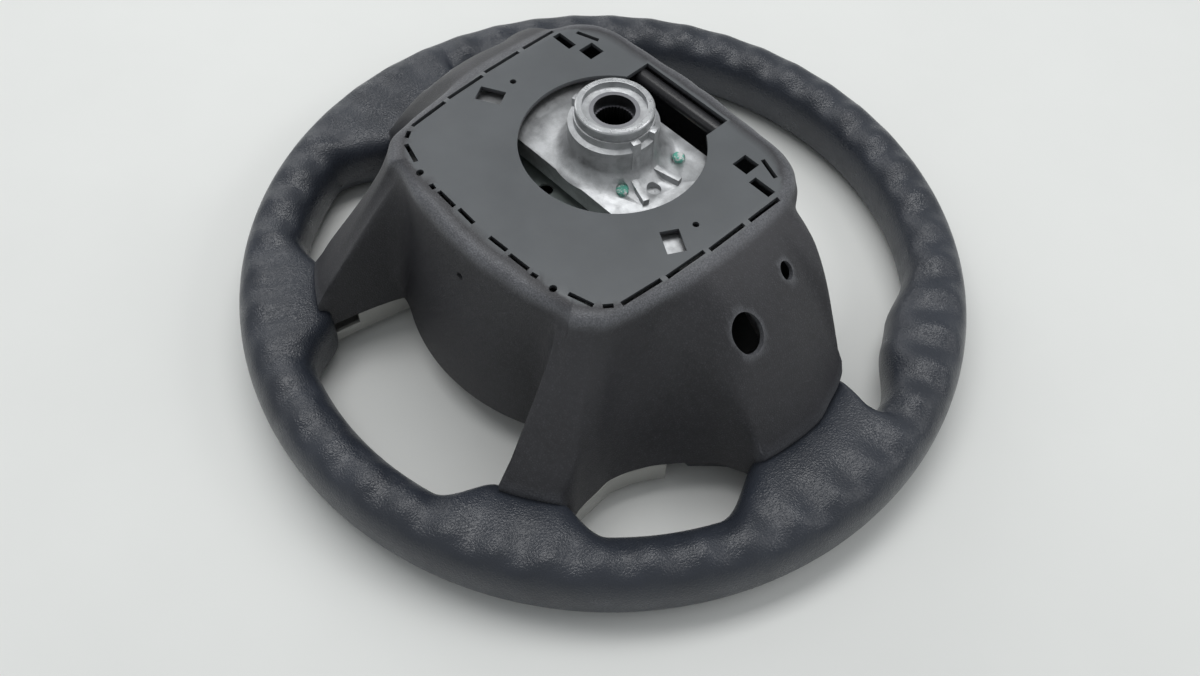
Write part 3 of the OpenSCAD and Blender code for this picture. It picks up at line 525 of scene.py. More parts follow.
def moulded(name, colour, roughness, grain=0.9, depth=0.03):
    """Moulded plastic with a fine spark-eroded grain."""
    f = Finish(name, colour, roughness)
    f.colour(f.blend(f.ramp(f.noise(30, 3), 0.35, 0.7), colour, tuple(c * 1.25 for c in colour)))
    f.gloss(f.ramp(f.noise(9, 4), 0.3, 0.7, roughness - 0.05, roughness + 0.08))
    pebbles = f.ramp(f.cells(grain, "DISTANCE_TO_EDGE", f.warped(2, 0.6)), 0, 0.3)
    f.bump((pebbles, depth), (f.noise(0.4, 2), 0.01))
    return f.material


def painted_trim():
    """Warm silver paint with fine flakes under a clear coat."""
    s = settings("wheel_front")
    f = Finish("silver_paint", s.trim, 0.34, metallic=0.35)
    flakes = f.cells(0.22, "F1")
    f.colour(f.blend(f.ramp(flakes, 0.2, 0.9), tuple(s.trim), tuple(c * 0.82 for c in s.trim)))
    f.shader.inputs["Coat Weight"].default_value = 0.3
    f.shader.inputs["Coat Roughness"].default_value = 0.2
    f.bump((f.noise(6, 2), 0.015))
    return f.material


def pin_finish():
    """Steel pins, their tips dabbed with green paint."""
    f = Finish("marked_pins", (0.55, 0.56, 0.56), 0.4, metallic=0.6)
    dab = f.math("MULTIPLY", f.ramp(f.axis("Z"), 108.2, 109.6), f.ramp(f.noise(2.2, 4), 0.42, 0.52))
    f.colour(f.blend(dab, (0.6, 0.61, 0.6), (0.12, 0.42, 0.33)))
    f.bump((f.noise(0.9, 3), 0.03))
    return f.material


def cloth_finish():
    """Plain woven nylon."""
    f = Finish("airbag_cloth", (0.74, 0.73, 0.68), 0.75)
    warp = f.math("SINE", f.math("MULTIPLY", f.axis("X"), 9.0))
    weft = f.math("SINE", f.math("MULTIPLY", f.axis("Y"), 9.0))
    weave = f.math("MULTIPLY", warp, weft)
    f.colour(f.blend(f.ramp(weave, -1, 1), (0.66, 0.65, 0.60), (0.78, 0.77, 0.72)))
    f.shader.inputs["Sheen Weight"].default_value = 0.2
    f.bump((weave, 0.05), (f.noise(14, 3), 0.4))
    return f.material


# Grip


SIDE_JOINT_R = 144.0  # radius at which a side root meets its arm
LOWER_JOINT_R = 150.0
LOWER_A = -58.4  # angle of the middle of a lower arm
RIM_MID = 19.8  # height of the middle of the rim's section
# Angles of a root's two walls, and how far its fillets run out on each side
SIDE_WALLS, SIDE_FILLETS = (-12.5, 7.2), (13, 3.4)
LOWER_WALLS, LOWER_FILLETS = (LOWER_A - 5.4, LOWER_A + 5.2), (9.5, 9.5)
HIDDEN_LAP = 6.0  # length of a root that lies under its arm
THUMB_A, THUMB_DEPTH = 30, 10.0
BUMPS_FROM, BUMPS_TO = 36, 112  # angles round the section, 0 outside and 90 on the rear
SECTION_RINGS, STEPS_PER_BUMP = 72, 16
# Powers of the section's oval: the lower, the squarer
OVAL, ROOT_HEIGHT_OVAL, ROOT_WIDTH_OVAL = 0.92, 0.42, 0.62


def between(b, ends, fillets):
    """1 between two walls, easing to 0 outside them."""
    return 1 - ease((ends[0] - b) / fillets[0]) - ease((b - ends[1]) / fillets[1])


def side_joint(b):
    """Radius at which a side root meets its arm, smaller towards its upper wall."""
    return SIDE_JOINT_R - 0.5 * max(0.0, b)


def root_top(x, w):
    """Drop of a root's back towards its joint, so that it lies just under the arm that it carries."""
    return w * 0.075 * max(0.0, x)


def grip_point(a, t, s):
    """Radius and height of the grip's skin at an angle round the wheel and one round its section."""
    b = fold(a)
    core_r = s.radius / MM - s.width / MM / 2
    half_w, half_h = s.width / MM / 2, s.height / MM / 2
    side, low = between(b, SIDE_WALLS, SIDE_FILLETS), between(b, LOWER_WALLS, LOWER_FILLETS)
    root = (side * (core_r - half_w - side_joint(b) + HIDDEN_LAP)
            + low * (core_r - half_w - LOWER_JOINT_R + HIDDEN_LAP))
    w = max(side, low)
    thumb = THUMB_DEPTH * window(b - THUMB_A, 3, 13)
    c, z = math.cos(math.radians(t)), math.sin(math.radians(t))
    x_round, z_round = math.copysign(abs(c) ** OVAL, c), math.copysign(abs(z) ** OVAL, z)
    crest = (1 - math.cos(math.radians(a) * s.bumps)) / 2
    band = ease((t - BUMPS_FROM) / 42) * (1 - ease((t - BUMPS_TO) / 38))
    valley = s.depth / MM * crest * band
    if c >= 0:
        return core_r + (half_w - 0.6 * valley) * x_round, RIM_MID + (half_h - valley) * z_round
    x = (half_w + root + thumb) * abs(c) ** mix(OVAL, ROOT_WIDTH_OVAL, w)
    y = math.copysign(abs(z) ** mix(OVAL, ROOT_HEIGHT_OVAL, w), z) * half_h
    fade = 1 - 0.9 * w * ease((x - 2) / 12)
    top = RIM_MID + y * (1 - valley * fade / half_h if y > 0 else 1)
    return core_r - x + 0.6 * valley * (1 - w) * abs(c), top - root_top(x, w) * max(0.0, y / half_h)


def leaned(a, r):
    """Turns the upper wall of a side root towards its arm."""
    b = fold(a)
    lean = 4.6 * window(b - 7.5, 1.5, 5) * max(0.0, min(1.0, (157 - r) / 19))
    turn = lean - 3.0 * ease((137.5 - r) / 6) * ease((b - 3) / 4)
    return a - turn if abs(a) > 90 else a + turn


class WHEEL_OT_grip(bpy.types.Operator):
    """Spins the grip's section round the hub and shapes the finger bumps, thumb rests and spoke roots."""

    bl_idname = "wheel.grip"
    bl_label = "Foam grip"

    def execute(self, context):
        s = settings("wheel_grip")
        bm = bmesh.new()
        core_r = s.radius - s.width / 2
        turn = Matrix.Translation((core_r, 0, RIM_MID * MM)) @ Matrix.Rotation(math.pi / 2, 4, "X")
        bmesh.ops.create_circle(bm, segments=SECTION_RINGS, radius=0.01, matrix=turn)
        bmesh.ops.spin(bm, geom=bm.verts[:] + bm.edges[:], cent=(0, 0, 0), axis=(0, 0, 1), angle=2 * math.pi,
                       steps=s.bumps * STEPS_PER_BUMP, use_merge=True, use_duplicate=False)
        for v in bm.verts:
            a = math.degrees(math.atan2(v.co.y, v.co.x))
            t = math.degrees(math.atan2(v.co.z - RIM_MID * MM, math.hypot(v.co.x, v.co.y) - core_r)) % 360
            if t > 270:
                t -= 360
            r, z = grip_point(a, t, s)
            v.co = Vector((*polar(leaned(a, r), r * MM), z * MM))
        bmesh.ops.recalc_face_normals(bm, faces=bm.faces)
        to_object(bm, "grip_skin", ROOT, "grip_foam", grip_finish(), "rim_grip", sharp=60)
        return {"FINISHED"}


# Rear shroud


FACE_Z = 114.5  # height of the rear face
EYE_R = 44.4
CUTOUT_HALF_W, CUTOUT_TOP = 26.7, 50  # of the cut-out at the top of the eye
# Angles at which the cut-out leaves the round eye and turns its corner; each has a column of its own
CUTOUT_CORNERS = [53.05, 61.9]
SKIRT_Z = 20.0  # height of the lower edge
CORNERS = [(0, -92), (24.6, -90.2), (49.2, -87.9), (62.3, -84.2), (71.3, -76.4), (75.9, -62.6),
           (79.5, -41.4), (81.6, -18.4), (82, 0), (81.2, 18), (78.7, 36), (75.4, 44.4), (69.3, 51.3),
           (60.7, 55.8), (41, 58.2), (20.5, 59.4), (0, 60)]
FACE_R = curve_through([(math.degrees(math.atan2(y, x)), math.hypot(x, y)) for x, y in CORNERS])
FIELD_MARGIN = curve_through([(-90, 11), (-60, 10.5), (-45, 8.5), (-30, 6.5), (0, 5.4), (22, 5.4),
                              (34, 9), (48, 13), (90, 9)])
# Run and drop of the face's rounded edge, where the slope under it is steep and where it is gentle
EDGE_RUN = 8
STEEP_EDGE = [(-EDGE_RUN, 0), (-4.4, -0.7), (-1, -3.2), (0.6, -7.6)]
GENTLE_EDGE = [(-EDGE_RUN, 0), (-4.4, -0.5), (-1, -1.6), (3, -3.6)]
SIDE_END, LOWER_END = SIDE_JOINT_R - 0.5, LOWER_JOINT_R - 0.5
# Angle, radius and height of the shoulder, radius of the lower edge, bend of the slope
ROWS = [
    (-90, 96, 78, 105, 1), (LOWER_A - 9, 97, 80, 105, 1), (LOWER_A - 5.9, 101, 82, 107, 1),
    (LOWER_A - 5.2, LOWER_END - 20, 66, LOWER_END - 18, 1), (LOWER_A - 4.6, LOWER_END, 39.4, LOWER_END, 0.95),
    (LOWER_A, LOWER_END, 39.8, LOWER_END, 0.95), (LOWER_A + 6.2, LOWER_END, 38.6, LOWER_END, 0.9),
    (LOWER_A + 8.6, LOWER_END - 6, 46, LOWER_END - 1, 0.9),
    (LOWER_A + 9.6, LOWER_END - 16, 52, LOWER_END - 6, 0.9),
    (LOWER_A + 12.5, LOWER_END - 27, 60, LOWER_END - 15, 0.9), (-43, 111.3, 66, 127.3, 0.9),
    (-38, 105.3, 72, 122.8, 0.9), (-33, 102.3, 76, 121.3, 0.9), (-28, 102.3, 80, 122.5, 1),
    (-24, 106.3, 80, 124.7, 1.1), (-19.5, 117.3, 70, 129.3, 1.25),
    (-16, SIDE_END - 10, 56, SIDE_END - 6, 1.35),
    (-13.4, SIDE_END, 38.2, SIDE_END, 1.45), (0, SIDE_END, 38.6, SIDE_END, 1.45),
    (6, SIDE_END - 3, 38.8, SIDE_END - 3, 1.45), (12, SIDE_END - 6, 39.5, SIDE_END - 6, 1.45),
    (13.6, SIDE_END - 16, 68, SIDE_END - 14, 1.45),
    (16.5, SIDE_END - 27, 86, SIDE_END - 24.5, 1.4), (19.6, SIDE_END - 36.5, 97, SIDE_END - 33, 1.35),
    (24, FACE_R(24) + 9, 102, FACE_R(24) + 12, 1.2)]
ROWS += [(b, FACE_R(b) + 2, 102.5, FACE_R(b) + 7, 1) for b in (28, 34, 41, 50, 60, 75, 90)]
ROW = [curve_through([(r[0], r[c]) for r in ROWS]) for c in range(5)]
FACE_STEPS, EDGE_STEPS, SLOPE_STEPS, FOOT_STEPS = 18, 9, 18, 3
SLOPE_ROUNDS = 10  # of smoothing


def eye_radius(b):
    """Radius of the opening round the hub, with its cut-out at the top."""
    if b <= 0:
        return EYE_R
    return max(EYE_R, min(CUTOUT_HALF_W / max(0.001, math.cos(math.radians(b))),
                          CUTOUT_TOP / math.sin(math.radians(b))))


def field_radius(b):
    """Radius at which the smooth field of the rear face ends."""
    return max(FACE_R(b) - FIELD_MARGIN(b), eye_radius(b) + 1.2)


def edge_point(b, q):
    """The rounded edge of the rear face, with q from 0 on the face to 1 at the slope."""
    arm = ease((ROW[4](b) - 1.0) / 0.4)
    u = q * (len(STEEP_EDGE) - 1)
    return tuple(mix(curve_through([(i, p[k]) for i, p in enumerate(STEEP_EDGE)])(u),
                     curve_through([(i, p[k]) for i, p in enumerate(GENTLE_EDGE)])(u), arm) for k in (0, 1))


def shroud_column(b):
    """Radius and height of every ring of the shroud at one angle, from the eye to the lower edge."""
    e, eye, field = FACE_R(b), eye_radius(b), field_radius(b)
    start = max(e - EDGE_RUN, eye + 2)
    inner = min(field, start)
    rings = [(mix(eye, inner, k / FACE_STEPS), FACE_Z) for k in range(FACE_STEPS)]
    for k in range(EDGE_STEPS + 1):
        dr, dz = edge_point(b, k / EDGE_STEPS)
        rings.append((max(e + dr, inner + 0.01 * k), FACE_Z + dz))
    r0, z0 = rings[-1]
    rs, zs, low, bend = ROW[1](b), ROW[2](b), ROW[3](b), ROW[4](b)
    for k in range(1, SLOPE_STEPS + 1):
        u = k / SLOPE_STEPS
        rings.append((mix(r0, rs, u), mix(z0, zs, u ** bend)))
    for k in range(1, FOOT_STEPS + 1):
        rings.append((mix(rs, low, k / FOOT_STEPS), mix(zs, SKIRT_Z, k / FOOT_STEPS)))
    return rings


def bent(b, r):
    """Leans a lower arm's wall towards the side arm, the more so the nearer it is to the hub."""
    half = 8 if b < LOWER_A - 4.8 else 11
    near = max(0.0, min(1.0, (LOWER_END - r) / (LOWER_END - 105)))
    return b + 6.4 * window(b - LOWER_A + 4.8, 0, half) * near


def shroud_angles():
    """Angles of the columns: close together where the arms begin, mirrored left to right."""
    half = []
    for (b0, *_), (b1, *_) in zip(ROWS, ROWS[1:]):
        steps = max(3, math.ceil((b1 - b0) / 0.9))
        half += [mix(b0, b1, k / steps) for k in range(steps)]
    half = sorted(half + CUTOUT_CORNERS)
    return half + [90] + [180 - b for b in reversed(half[1:])]


def at_joint(v):
    """Whether a point lies on the end of an arm, which meets its root in a crisp line."""
    b, r = fold(math.degrees(math.atan2(v.co.y, v.co.x))), v.co.xy.length / MM
    return r > (LOWER_END if b < -40 else ROW[3](b)) - 0.8 and r > 134


def face_cutters(bm):
    """Slots, hook windows and holes of the rear face and arms."""
    def slot(x0, y0, x1, y1, w=2.2):
        turn = Matrix.Rotation(math.atan2(y1 - y0, x1 - x0), 4, "Z")
        add_block(bm, (math.hypot(x1 - x0, y1 - y0), w, 14), ((x0 + x1) / 2, (y0 + y1) / 2, FACE_Z), turn)

    for m in (1, -1):
        for y0, y1, lean in ((11.4, 31.4, 0), (-13.9, 8, 0.4), (-38.5, -16.4, 2.5), (-62.7, -41.3, 5.5)):
            slot(m * (75.5 - lean), y0, m * (75.5 - lean * 0.6), y1)
        slot(m * 68.3, -65.8, m * 65.6, -69.6)
        slot(m * 62.6, -72.2, m * 51, -75.6)
        for x0, x1 in ((5.3, 16), (18.5, 30), (32.4, 35.8)):
            slot(m * x0, -80, m * x1, -79.4)
        slot(m * 54.9, 43.5, m * 66.5, 39.4)
        add_drum(bm, 1.8, 14, (m * 44.6, -78.5, FACE_Z), segments=24)
        add_drum(bm, 1.6, 14, (m * 61, -8, FACE_Z), segments=24)
        skew = Matrix.Rotation(math.radians(-29 * m), 4, "Z")
        add_block(bm, (12.8, 9, 20), (m * 61, -22.4, FACE_Z - 2), skew)
        add_block(bm, (8.7, 8.8, 12), (m * 51.65, 35.4, FACE_Z - 2))
        add_block(bm, (12, 4.7, 12), (m * 66, 30.45, FACE_Z - 2))
    for r, place, turn in arm_holes():
        add_drum(bm, r, 26, place, turn)
    add_drum(bm, 1.9, 14, (0, -92, 94), Matrix.Rotation(math.pi / 2, 4, "X"), 24)


def arm_holes():
    """Radius, place and turn of each oval hole in the side arms."""
    for m in (1, -1):
        for r, x, y, z, tilt in ((10.5, 107.8, -20, 91, 58), (4.8, 100.3, 13, 100.4, 52)):
            aside = Matrix.Rotation(math.radians(4 * m), 4, "Z")
            turn = aside @ Matrix.Rotation(math.radians(tilt * m), 4, "Y")
            yield r, Vector((m * x, y, z)), turn @ Matrix.Diagonal((1, 0.72, 1, 1))


def shroud_marks(mesh):
    """Writes where the skin is satin, and where its edges take the lighter colour that is partly rub wear and
    partly painted highlight.
    """
    holes = [(r, place, turn.inverted()) for r, place, turn in arm_holes()]
    field = mesh.attributes.new("satin_field", "FLOAT", "POINT")
    wear_and_highlight = mesh.attributes.new("edge_wear_and_highlight", "FLOAT", "POINT")
    for v in mesh.vertices:
        x, y, z = v.co / MM
        b, r = fold(math.degrees(math.atan2(y, x))), math.hypot(x, y)
        e = FACE_R(b)
        on_face = ease((z - FACE_Z + 0.8) / 0.6)
        field.data[v.index].value = on_face * ease((field_radius(b) + 0.6 - r) / 0.8)
        # Band along the rounded edge of the rear face: partly wear, partly painted highlight.
        band = window(r - e + 3.0, 1.0, 4.6) * ease((z - FACE_Z + 8) / 5)
        rim = 0.0
        for radius, place, back in holes:
            near = back @ (Vector((x, y, z)) - place)
            if abs(near.z) < 9:
                rim = max(rim, 0.9 * window(math.hypot(near.x, near.y) - radius - 0.4, 0.3, 1.1))
        # Thin light line along the ends of the arms: a painted edge highlight.
        end = 0.8 * window(r - ROW[3](b) + 0.4, 0.5, 0.7) * ease((z - 30) / 4) * (1 if r > 134 else 0)
        wear_and_highlight.data[v.index].value = max(band, rim, end)


class WHEEL_OT_shroud(bpy.types.Operator):
    """Draws the shroud down from the eye ring by ring, gives it its wall and cuts its slots and holes."""

    bl_idname = "wheel.shroud"
    bl_label = "Rear shroud"

    def execute(self, context):
        angles = shroud_angles()
        columns = [shroud_column(fold(a)) for a in angles]
        bm = bmesh.new()

        def place(i, level):
            r, z = columns[i][level]
            b = bent(fold(angles[i]), r)
            return *polar(180 - b if angles[i] > 90 else b, r), z

        rings = drawn(bm, len(angles), len(columns[0]), place)
        loose = [v for ring in rings[FACE_STEPS + EDGE_STEPS - 1:-1] for v in ring if not at_joint(v)]
        for _ in range(SLOPE_ROUNDS):
            bmesh.ops.smooth_vert(bm, verts=loose, factor=0.5, use_axis_x=True, use_axis_y=True,
                                  use_axis_z=True)
        facing(bm, 2, 1)
        shroud = to_object(bm, "rear_shroud", ROOT, "cover_plastic", shroud_finish(), "rear_cover", sharp=50)
        wall = shroud.modifiers.new("Wall", "SOLIDIFY")
        wall.thickness = settings("wheel_shroud").wall
        wall.offset = -1
        knife = bmesh.new()
        face_cutters(knife)
        mesh = bpy.data.meshes.new("face_cutters")
        knife.to_mesh(mesh)
        knife.free()
        tool = bpy.data.objects.new("face_cutters", mesh)
        context.scene.collection.objects.link(tool)
        cut = shroud.modifiers.new("Openings", "BOOLEAN")
        cut.operation = "DIFFERENCE"
        cut.solver = "EXACT"
        cut.use_self = False
        cut.object = tool
        mesh = applied(shroud)
        bpy.data.objects.remove(tool)
        smooth(mesh, 40)
        shroud_marks(mesh)
        return {"FINISHED"}


class WHEEL_OT_rail(bpy.types.Operator):
    """Turns the glossy rail across the cut-out of the rear face."""

    bl_idname = "wheel.rail"
    bl_label = "Cut-out rail"

    def execute(self, context):
        bm = bmesh.new()
        along = Matrix.Rotation(math.pi / 2, 4, "Y")
        add_drum(bm, 3.8, 55, (0, 46.5, 108.5), along, 40)
        piece = to_object(bm, "cutout_rail", ROOT, "cover_plastic",
                          moulded("rail_plastic", (0.018, 0.018, 0.020), 0.28, 1.4, 0.008))
        rounded(piece, 0.6 * MM)
        applied(piece)
        return {"FINISHED"}


# Hub and sheet metal


class WHEEL_OT_casting(bpy.types.Operator):
    """Rounds the edges of the die casting and adds the turned ring on its nose."""

    bl_idname = "wheel.casting"
    bl_label = "Hub casting"

    def execute(self, context):
        piece = to_object(node_copy("armature"), "hub_casting", ROOT, "die_cast", cast_finish(), "armature",
                          sharp=40)
        rounded(piece, settings("wheel_metal").edge, 2, 38)
        smooth(applied(piece), 45)
        bm = bmesh.new()
        # Radius and height along the top of the nose
        outline = [(15.35, 134.7), (15.1, 137.2), (15.5, 137.62), (17.4, 137.62), (17.9, 137.3)]
        points = [bm.verts.new(Vector((r, 0, z)) * MM) for r, z in outline]
        edges = [bm.edges.new(pair) for pair in zip(points, points[1:])]
        bmesh.ops.spin(bm, geom=points + edges, cent=(0, 0, 0), axis=(0, 0, 1), angle=2 * math.pi, steps=128,
                       use_merge=True, use_duplicate=False)
        facing(bm, 2, 1)
        to_object(bm, "nose_ring", ROOT, "die_cast", turned_finish())
        return {"FINISHED"}


class WHEEL_OT_metal(bpy.types.Operator):
    """Gives the sheet metal, fasteners and contacts their metals, and remakes the horn springs in spring
    wire.
    """

    bl_idname = "wheel.metal"
    bl_label = "Metal parts"

    def execute(self, context):
        plate = to_object(node_copy("horn_plate"), "zinc_plate", ROOT, "plated_steel", zinc_finish(),
                          "horn_plate")
        rounded(plate, 0.25 * MM, 2)
        smooth(applied(plate), 40)
        steel = plain_metal("plated_fastener", (0.52, 0.53, 0.52), 0.36)
        finishes = {
            "spline_bush": bush_finish(), "locating_pins": pin_finish(), "cover_screws": steel,
            "airbag_bolts": steel, "switch_screws": steel, "inflator_nuts": steel, "guide_pins": steel,
            "fixed_contacts": plain_metal("copper_contact", (0.72, 0.42, 0.24), 0.32),
            "moving_contacts": plain_metal("copper_rivet", (0.70, 0.42, 0.25), 0.36),
            "inflator": plain_metal("drawn_can", (0.55, 0.56, 0.57), 0.34),
            "module_plate": zinc_finish("coated_plate", 0.93),
        }
        for name, finish in finishes.items():
            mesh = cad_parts[name].data
            mesh.materials.clear()
            mesh.materials.append(finish)
        coils = to_object(node_copy("horn_springs"), "horn_coils", None, "spring_steel",
                          plain_metal("spring_wire", (0.62, 0.62, 0.64), 0.26), "horn_springs")
        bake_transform(coils)
        return {"FINISHED"}


# Front: pad, airbag, bezels, trims and switches


PAD_R, PAD_SIDE, PAD_TOP = 97.0, 88, 62  # its round lower part, its sides and its top
PAD_CORNER_R = 24
PAD_CORNER_X, PAD_CORNER_Y = PAD_SIDE - PAD_CORNER_R, PAD_TOP - PAD_CORNER_R
PAD_FRONT_Z, PAD_DOME_R, PAD_EDGE_R, PAD_WALL = 4.0, 520, 4.5, 2.6
BAG_BOX_Z = 16.5  # height from which the CAD's box behind the skin is kept


def pad_radius(a):
    """Radius of the pad's outline at an angle."""
    c, s = abs(math.cos(math.radians(a))), math.sin(math.radians(a))
    reach = [PAD_R]
    if c > 1e-6:
        reach.append(PAD_SIDE / c)
    if s > 1e-6:
        reach.append(PAD_TOP / s)
        along = PAD_CORNER_X * c + PAD_CORNER_Y * s
        left = along * along - (PAD_CORNER_X ** 2 + PAD_CORNER_Y ** 2 - PAD_CORNER_R ** 2)
        if left > 0:
            hit = along + math.sqrt(left)
            if hit * c > PAD_CORNER_X and hit * s > PAD_CORNER_Y:
                reach.append(hit)
    return min(reach)


class WHEEL_OT_pad(bpy.types.Operator):
    """Domes the soft skin of the horn pad and turns its edge."""

    bl_idname = "wheel.pad"
    bl_label = "Horn pad"

    def execute(self, context):
        count = 240
        colour = tuple(settings("wheel_front").pad)

        def dome(r):
            return PAD_FRONT_Z + PAD_DOME_R - math.sqrt(PAD_DOME_R * PAD_DOME_R - r * r)

        def soft(a):
            """The outline with its corners eased, so that the turned edge stays smooth."""
            return sum(pad_radius(a + d) for d in (-4, -2, 0, 2, 4)) / 5 - 0.4

        levels = [("flat", f) for f in (0.93, 0.89, 0.82, 0.72, 0.6, 0.45, 0.3, 0.15, 0.04)][::-1]
        levels += [("edge", q) for q in (0, 15, 30, 45, 60, 75, 90)] + [("wall", z) for z in (12.5, 17.0)]

        def place(i, level):
            kind, value = levels[level]
            a = i * 360 / count - 180
            full = soft(a)
            low = dome(full - PAD_EDGE_R)
            if kind == "flat":
                r, z = value * full, dome(value * full)
            elif kind == "edge":
                q = math.radians(value)
                r, z = full - PAD_EDGE_R + PAD_EDGE_R * math.sin(q), low + PAD_EDGE_R * (1 - math.cos(q))
            else:
                r, z = full, max(value, low + 4.6)
            return *polar(a, r), z

        bm = bmesh.new()
        rings = drawn(bm, count, len(levels), place)
        bmesh.ops.contextual_create(bm, geom=rings[0])
        facing(bm, 2, -1)
        pad = to_object(bm, "pad_skin", PAD, "pad_plastic", moulded("pad_skin", colour, 0.48, 0.9, 0.045),
                        "pad_cover")
        wall = pad.modifiers.new("Wall", "SOLIDIFY")
        wall.thickness = PAD_WALL * MM
        wall.offset = -1
        smooth(applied(pad), 50)

        bm = node_copy("pad_cover")
        bmesh.ops.bisect_plane(bm, geom=bm.verts[:] + bm.edges[:] + bm.faces[:],
                               plane_co=(0, 0, BAG_BOX_Z * MM), plane_no=(0, 0, 1), clear_inner=True)
        outer = [v for v in bm.verts if abs(v.co.x) > 60 * MM or abs(v.co.y + 8 * MM) > 52 * MM]
        bmesh.ops.delete(bm, geom=outer, context="VERTS")
        for v in bm.verts:
            if v.co.z < (BAG_BOX_Z + 0.1) * MM:
                v.co.z = (dome(v.co.xy.length / MM) + 2.2) * MM
        bmesh.ops.holes_fill(bm, edges=[e for e in bm.edges if e.is_boundary], sides=0)
        bmesh.ops.recalc_face_normals(bm, faces=bm.faces)
        to_object(bm, "airbag_box", PAD, "pad_plastic", moulded("box_plastic", colour, 0.55), "pad_cover")
        return {"FINISHED"}


class WHEEL_OT_airbag(bpy.types.Operator):
    """Folds the airbag into soft pleats."""

    bl_idname = "wheel.airbag"
    bl_label = "Folded airbag"

    def execute(self, context):
        low, high = (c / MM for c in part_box("folded_cushion"))
        centre, half = (low + high) / 2, (high - low) / 2
        count, pleats, steps = 120, 5, 8

        def place(i, level):
            a = math.radians(i * 360 / count)
            c, s = math.cos(a), math.sin(a)
            u = level / (pleats * steps)
            fold_in = 3.2 * (1 - abs(math.sin(u * pleats * math.pi)) ** 0.6)
            inset = 1.8 + fold_in + 0.6 * math.sin(5 * a + level * 0.7)
            x = math.copysign(abs(c) ** 0.35, c) * (half.x - inset)
            y = math.copysign(abs(s) ** 0.35, s) * (half.y - inset)
            return centre.x + x, centre.y + y, mix(low.z, high.z, u)

        bm = bmesh.new()
        rings = drawn(bm, count, pleats * steps + 1, place)
        capped(bm, rings[0])
        capped(bm, rings[-1])
        bmesh.ops.recalc_face_normals(bm, faces=bm.faces)
        bag = to_object(bm, "folded_airbag", PAD, "bag_cloth", cloth_finish(), "folded_cushion", sharp=60)
        return {"FINISHED"}


class WHEEL_OT_fronts(bpy.types.Operator):
    """Rounds the bezels, the painted trims and the switch housings."""

    bl_idname = "wheel.fronts"
    bl_label = "Spoke fronts"

    def execute(self, context):
        s = settings("wheel_front")
        bezel = moulded("bezel_plastic", tuple(s.bezel), 0.42, 0.8, 0.02)
        trim, housing = painted_trim(), moulded("housing_plastic", (0.03, 0.03, 0.032), 0.5)
        for side in ("right", "left"):
            for node, slot, finish in (("spoke_bezel", "bezel_plastic", bezel),
                                       ("spoke_trim", "trim_paint", trim),
                                       ("switch_housing", "housing_plastic", housing)):
                name = f"{side}_{node}"
                piece = to_object(node_copy(name), f"{name}_moulding", ROOT, slot, finish, name)
                rounded(piece, 0.7 * MM if node != "switch_housing" else 0.3 * MM, 3, 30)
                smooth(applied(piece), 40)
        return {"FINISHED"}


class WHEEL_OT_switches(bpy.types.Operator):
    """Rounds the rockers and push buttons."""

    bl_idname = "wheel.switches"
    bl_label = "Switches"

    def execute(self, context):
        finish = moulded("button_plastic", (0.035, 0.035, 0.038), 0.34, 0.7, 0.012)
        for side in ("right", "left"):
            for node in ("rocker", "upper_button", "lower_button"):
                name = f"{side}_{node}"
                piece = to_object(node_copy(name), f"{name}_cap", f"{name}_body", "button_plastic", finish,
                                  name)
                rounded(piece, 0.45 * MM, 3, 30)
                smooth(applied(piece), 45)
        return {"FINISHED"}


# Studio


# Name, place, aim and size in metres, and share of the key lamp's power
LAMPS = [("ceiling_lamp", (-0.3, 0.12, 1.5), (0, 0, 0.05), (1.6, 0.5), 0.95),
         ("side_lamp", (0.9, 0.9, 1.1), (0, 0, 0.05), (0.9, 0.5), 0.3),
         ("window_lamp", (-1.3, 0.35, 0.75), (0, 0, 0.06), (1.0, 0.6), 0.3)]
# The camera fitted to the photo; its axes point right, up and back
SENSOR, FOCAL_PIXELS, PHOTO_WIDTH = 36, 1146.9, 1200
EYE_PLACE = Vector((261.226, -276.455, 500.750))
EYE_AXES = (Vector((0.69210115, 0.72106116, 0.03266188)), Vector((-0.60555624, 0.55541953, 0.56992173)),
            Vector((0.39280738, -0.41422209, 0.82104959)))
FLOOR_Z = -0.0004  # just under the wheel, in metres


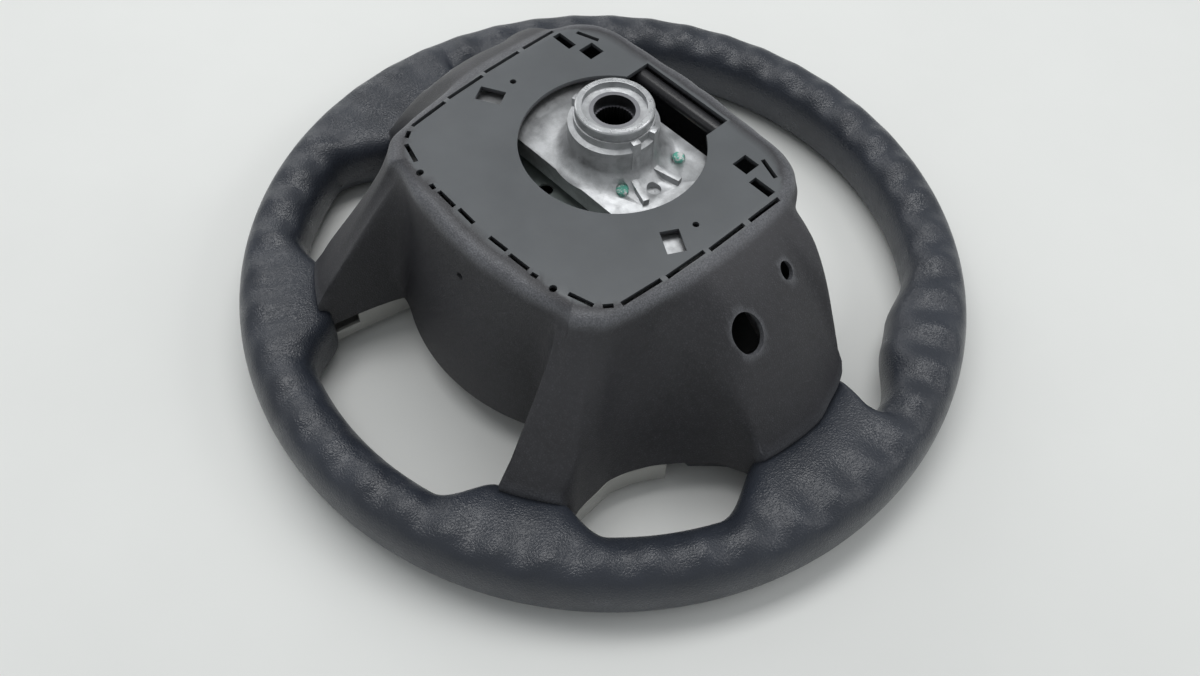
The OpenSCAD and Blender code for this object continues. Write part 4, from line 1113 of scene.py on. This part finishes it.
class WHEEL_OT_stage(bpy.types.Operator):
    """Lays a pale floor, hangs soft lamps and sets the camera."""

    bl_idname = "wheel.stage"
    bl_label = "Studio and camera"

    def execute(self, context):
        s = settings("wheel_studio")
        bm = bmesh.new()
        bmesh.ops.create_grid(bm, x_segments=2, y_segments=2, size=6)
        mesh = bpy.data.meshes.new("floor")
        bm.to_mesh(mesh)
        bm.free()
        floor = bpy.data.objects.new("floor", mesh)
        floor.location = (0, 0, FLOOR_Z)
        context.scene.collection.objects.link(floor)
        f = Finish("pale_board", tuple(s.floor), 0.75, specular=0.25)
        cloud = f.ramp(f.noise(180, 4, 0.6), 0.3, 0.7)
        f.colour(f.blend(cloud, tuple(s.floor), tuple(c * 0.965 for c in s.floor)))
        mesh.materials.append(f.material)

        for name, place, aim, size, power in LAMPS:
            light = bpy.data.lights.new(name, "AREA")
            light.shape = "RECTANGLE"
            light.size, light.size_y = size
            light.energy = s.key * power
            made = bpy.data.objects.new(name, light)
            made.location = place
            made.rotation_euler = (Vector(aim) - Vector(place)).to_track_quat("-Z", "Y").to_euler()
            context.scene.collection.objects.link(made)
        world = bpy.data.worlds.new("studio")
        world.use_nodes = True
        context.scene.world = world
        sky = world.node_tree.nodes["Background"]
        sky.inputs["Color"].default_value = (0.95, 0.98, 1.0, 1)
        sky.inputs["Strength"].default_value = s.sky

        camera = bpy.data.cameras.new("camera")
        camera.sensor_width = SENSOR
        camera.lens = SENSOR * FOCAL_PIXELS / PHOTO_WIDTH
        camera.clip_start = 0.01
        eye = bpy.data.objects.new("camera", camera)
        eye.matrix_world = Matrix.Translation(EYE_PLACE * MM) @ Matrix(EYE_AXES).transposed().to_4x4()
        context.scene.collection.objects.link(eye)
        context.scene.camera = eye
        context.scene.view_settings.view_transform = "Standard"
        return {"FINISHED"}


STEPS = [WHEEL_OT_stage, WHEEL_OT_grip, WHEEL_OT_shroud, WHEEL_OT_rail, WHEEL_OT_casting, WHEEL_OT_metal,
         WHEEL_OT_pad, WHEEL_OT_airbag, WHEEL_OT_fronts, WHEEL_OT_switches]
GROUPS = {"wheel_grip": GripSettings, "wheel_shroud": ShroudSettings, "wheel_metal": MetalSettings,
          "wheel_front": FrontSettings, "wheel_studio": StudioSettings}


class WHEEL_PT_panel(bpy.types.Panel):
    """Lists the sizes, colours and steps of the wheel's looks."""

    bl_idname = "WHEEL_PT_panel"
    bl_label = "Steering wheel"
    bl_space_type = "VIEW_3D"
    bl_region_type = "UI"
    bl_category = "Wheel"

    def draw(self, context):
        for name, group in GROUPS.items():
            box = self.layout.box()
            for key in group.__annotations__:
                box.prop(getattr(context.scene, name), key)
        for step in STEPS:
            self.layout.operator(step.bl_idname)


def register():
    for group in GROUPS.values():
        bpy.utils.register_class(group)
    for name, group in GROUPS.items():
        setattr(bpy.types.Scene, name, PointerProperty(type=group))
    for step in STEPS:
        bpy.utils.register_class(step)
    bpy.utils.register_class(WHEEL_PT_panel)


def unregister():
    bpy.utils.unregister_class(WHEEL_PT_panel)
    for step in reversed(STEPS):
        bpy.utils.unregister_class(step)
    for name, group in GROUPS.items():
        delattr(bpy.types.Scene, name)
        bpy.utils.unregister_class(group)


def main():
    register()
    for step in STEPS:
        group, name = step.bl_idname.split(".")
        getattr(getattr(bpy.ops, group), name)()


if __name__ == "__main__":
    main()
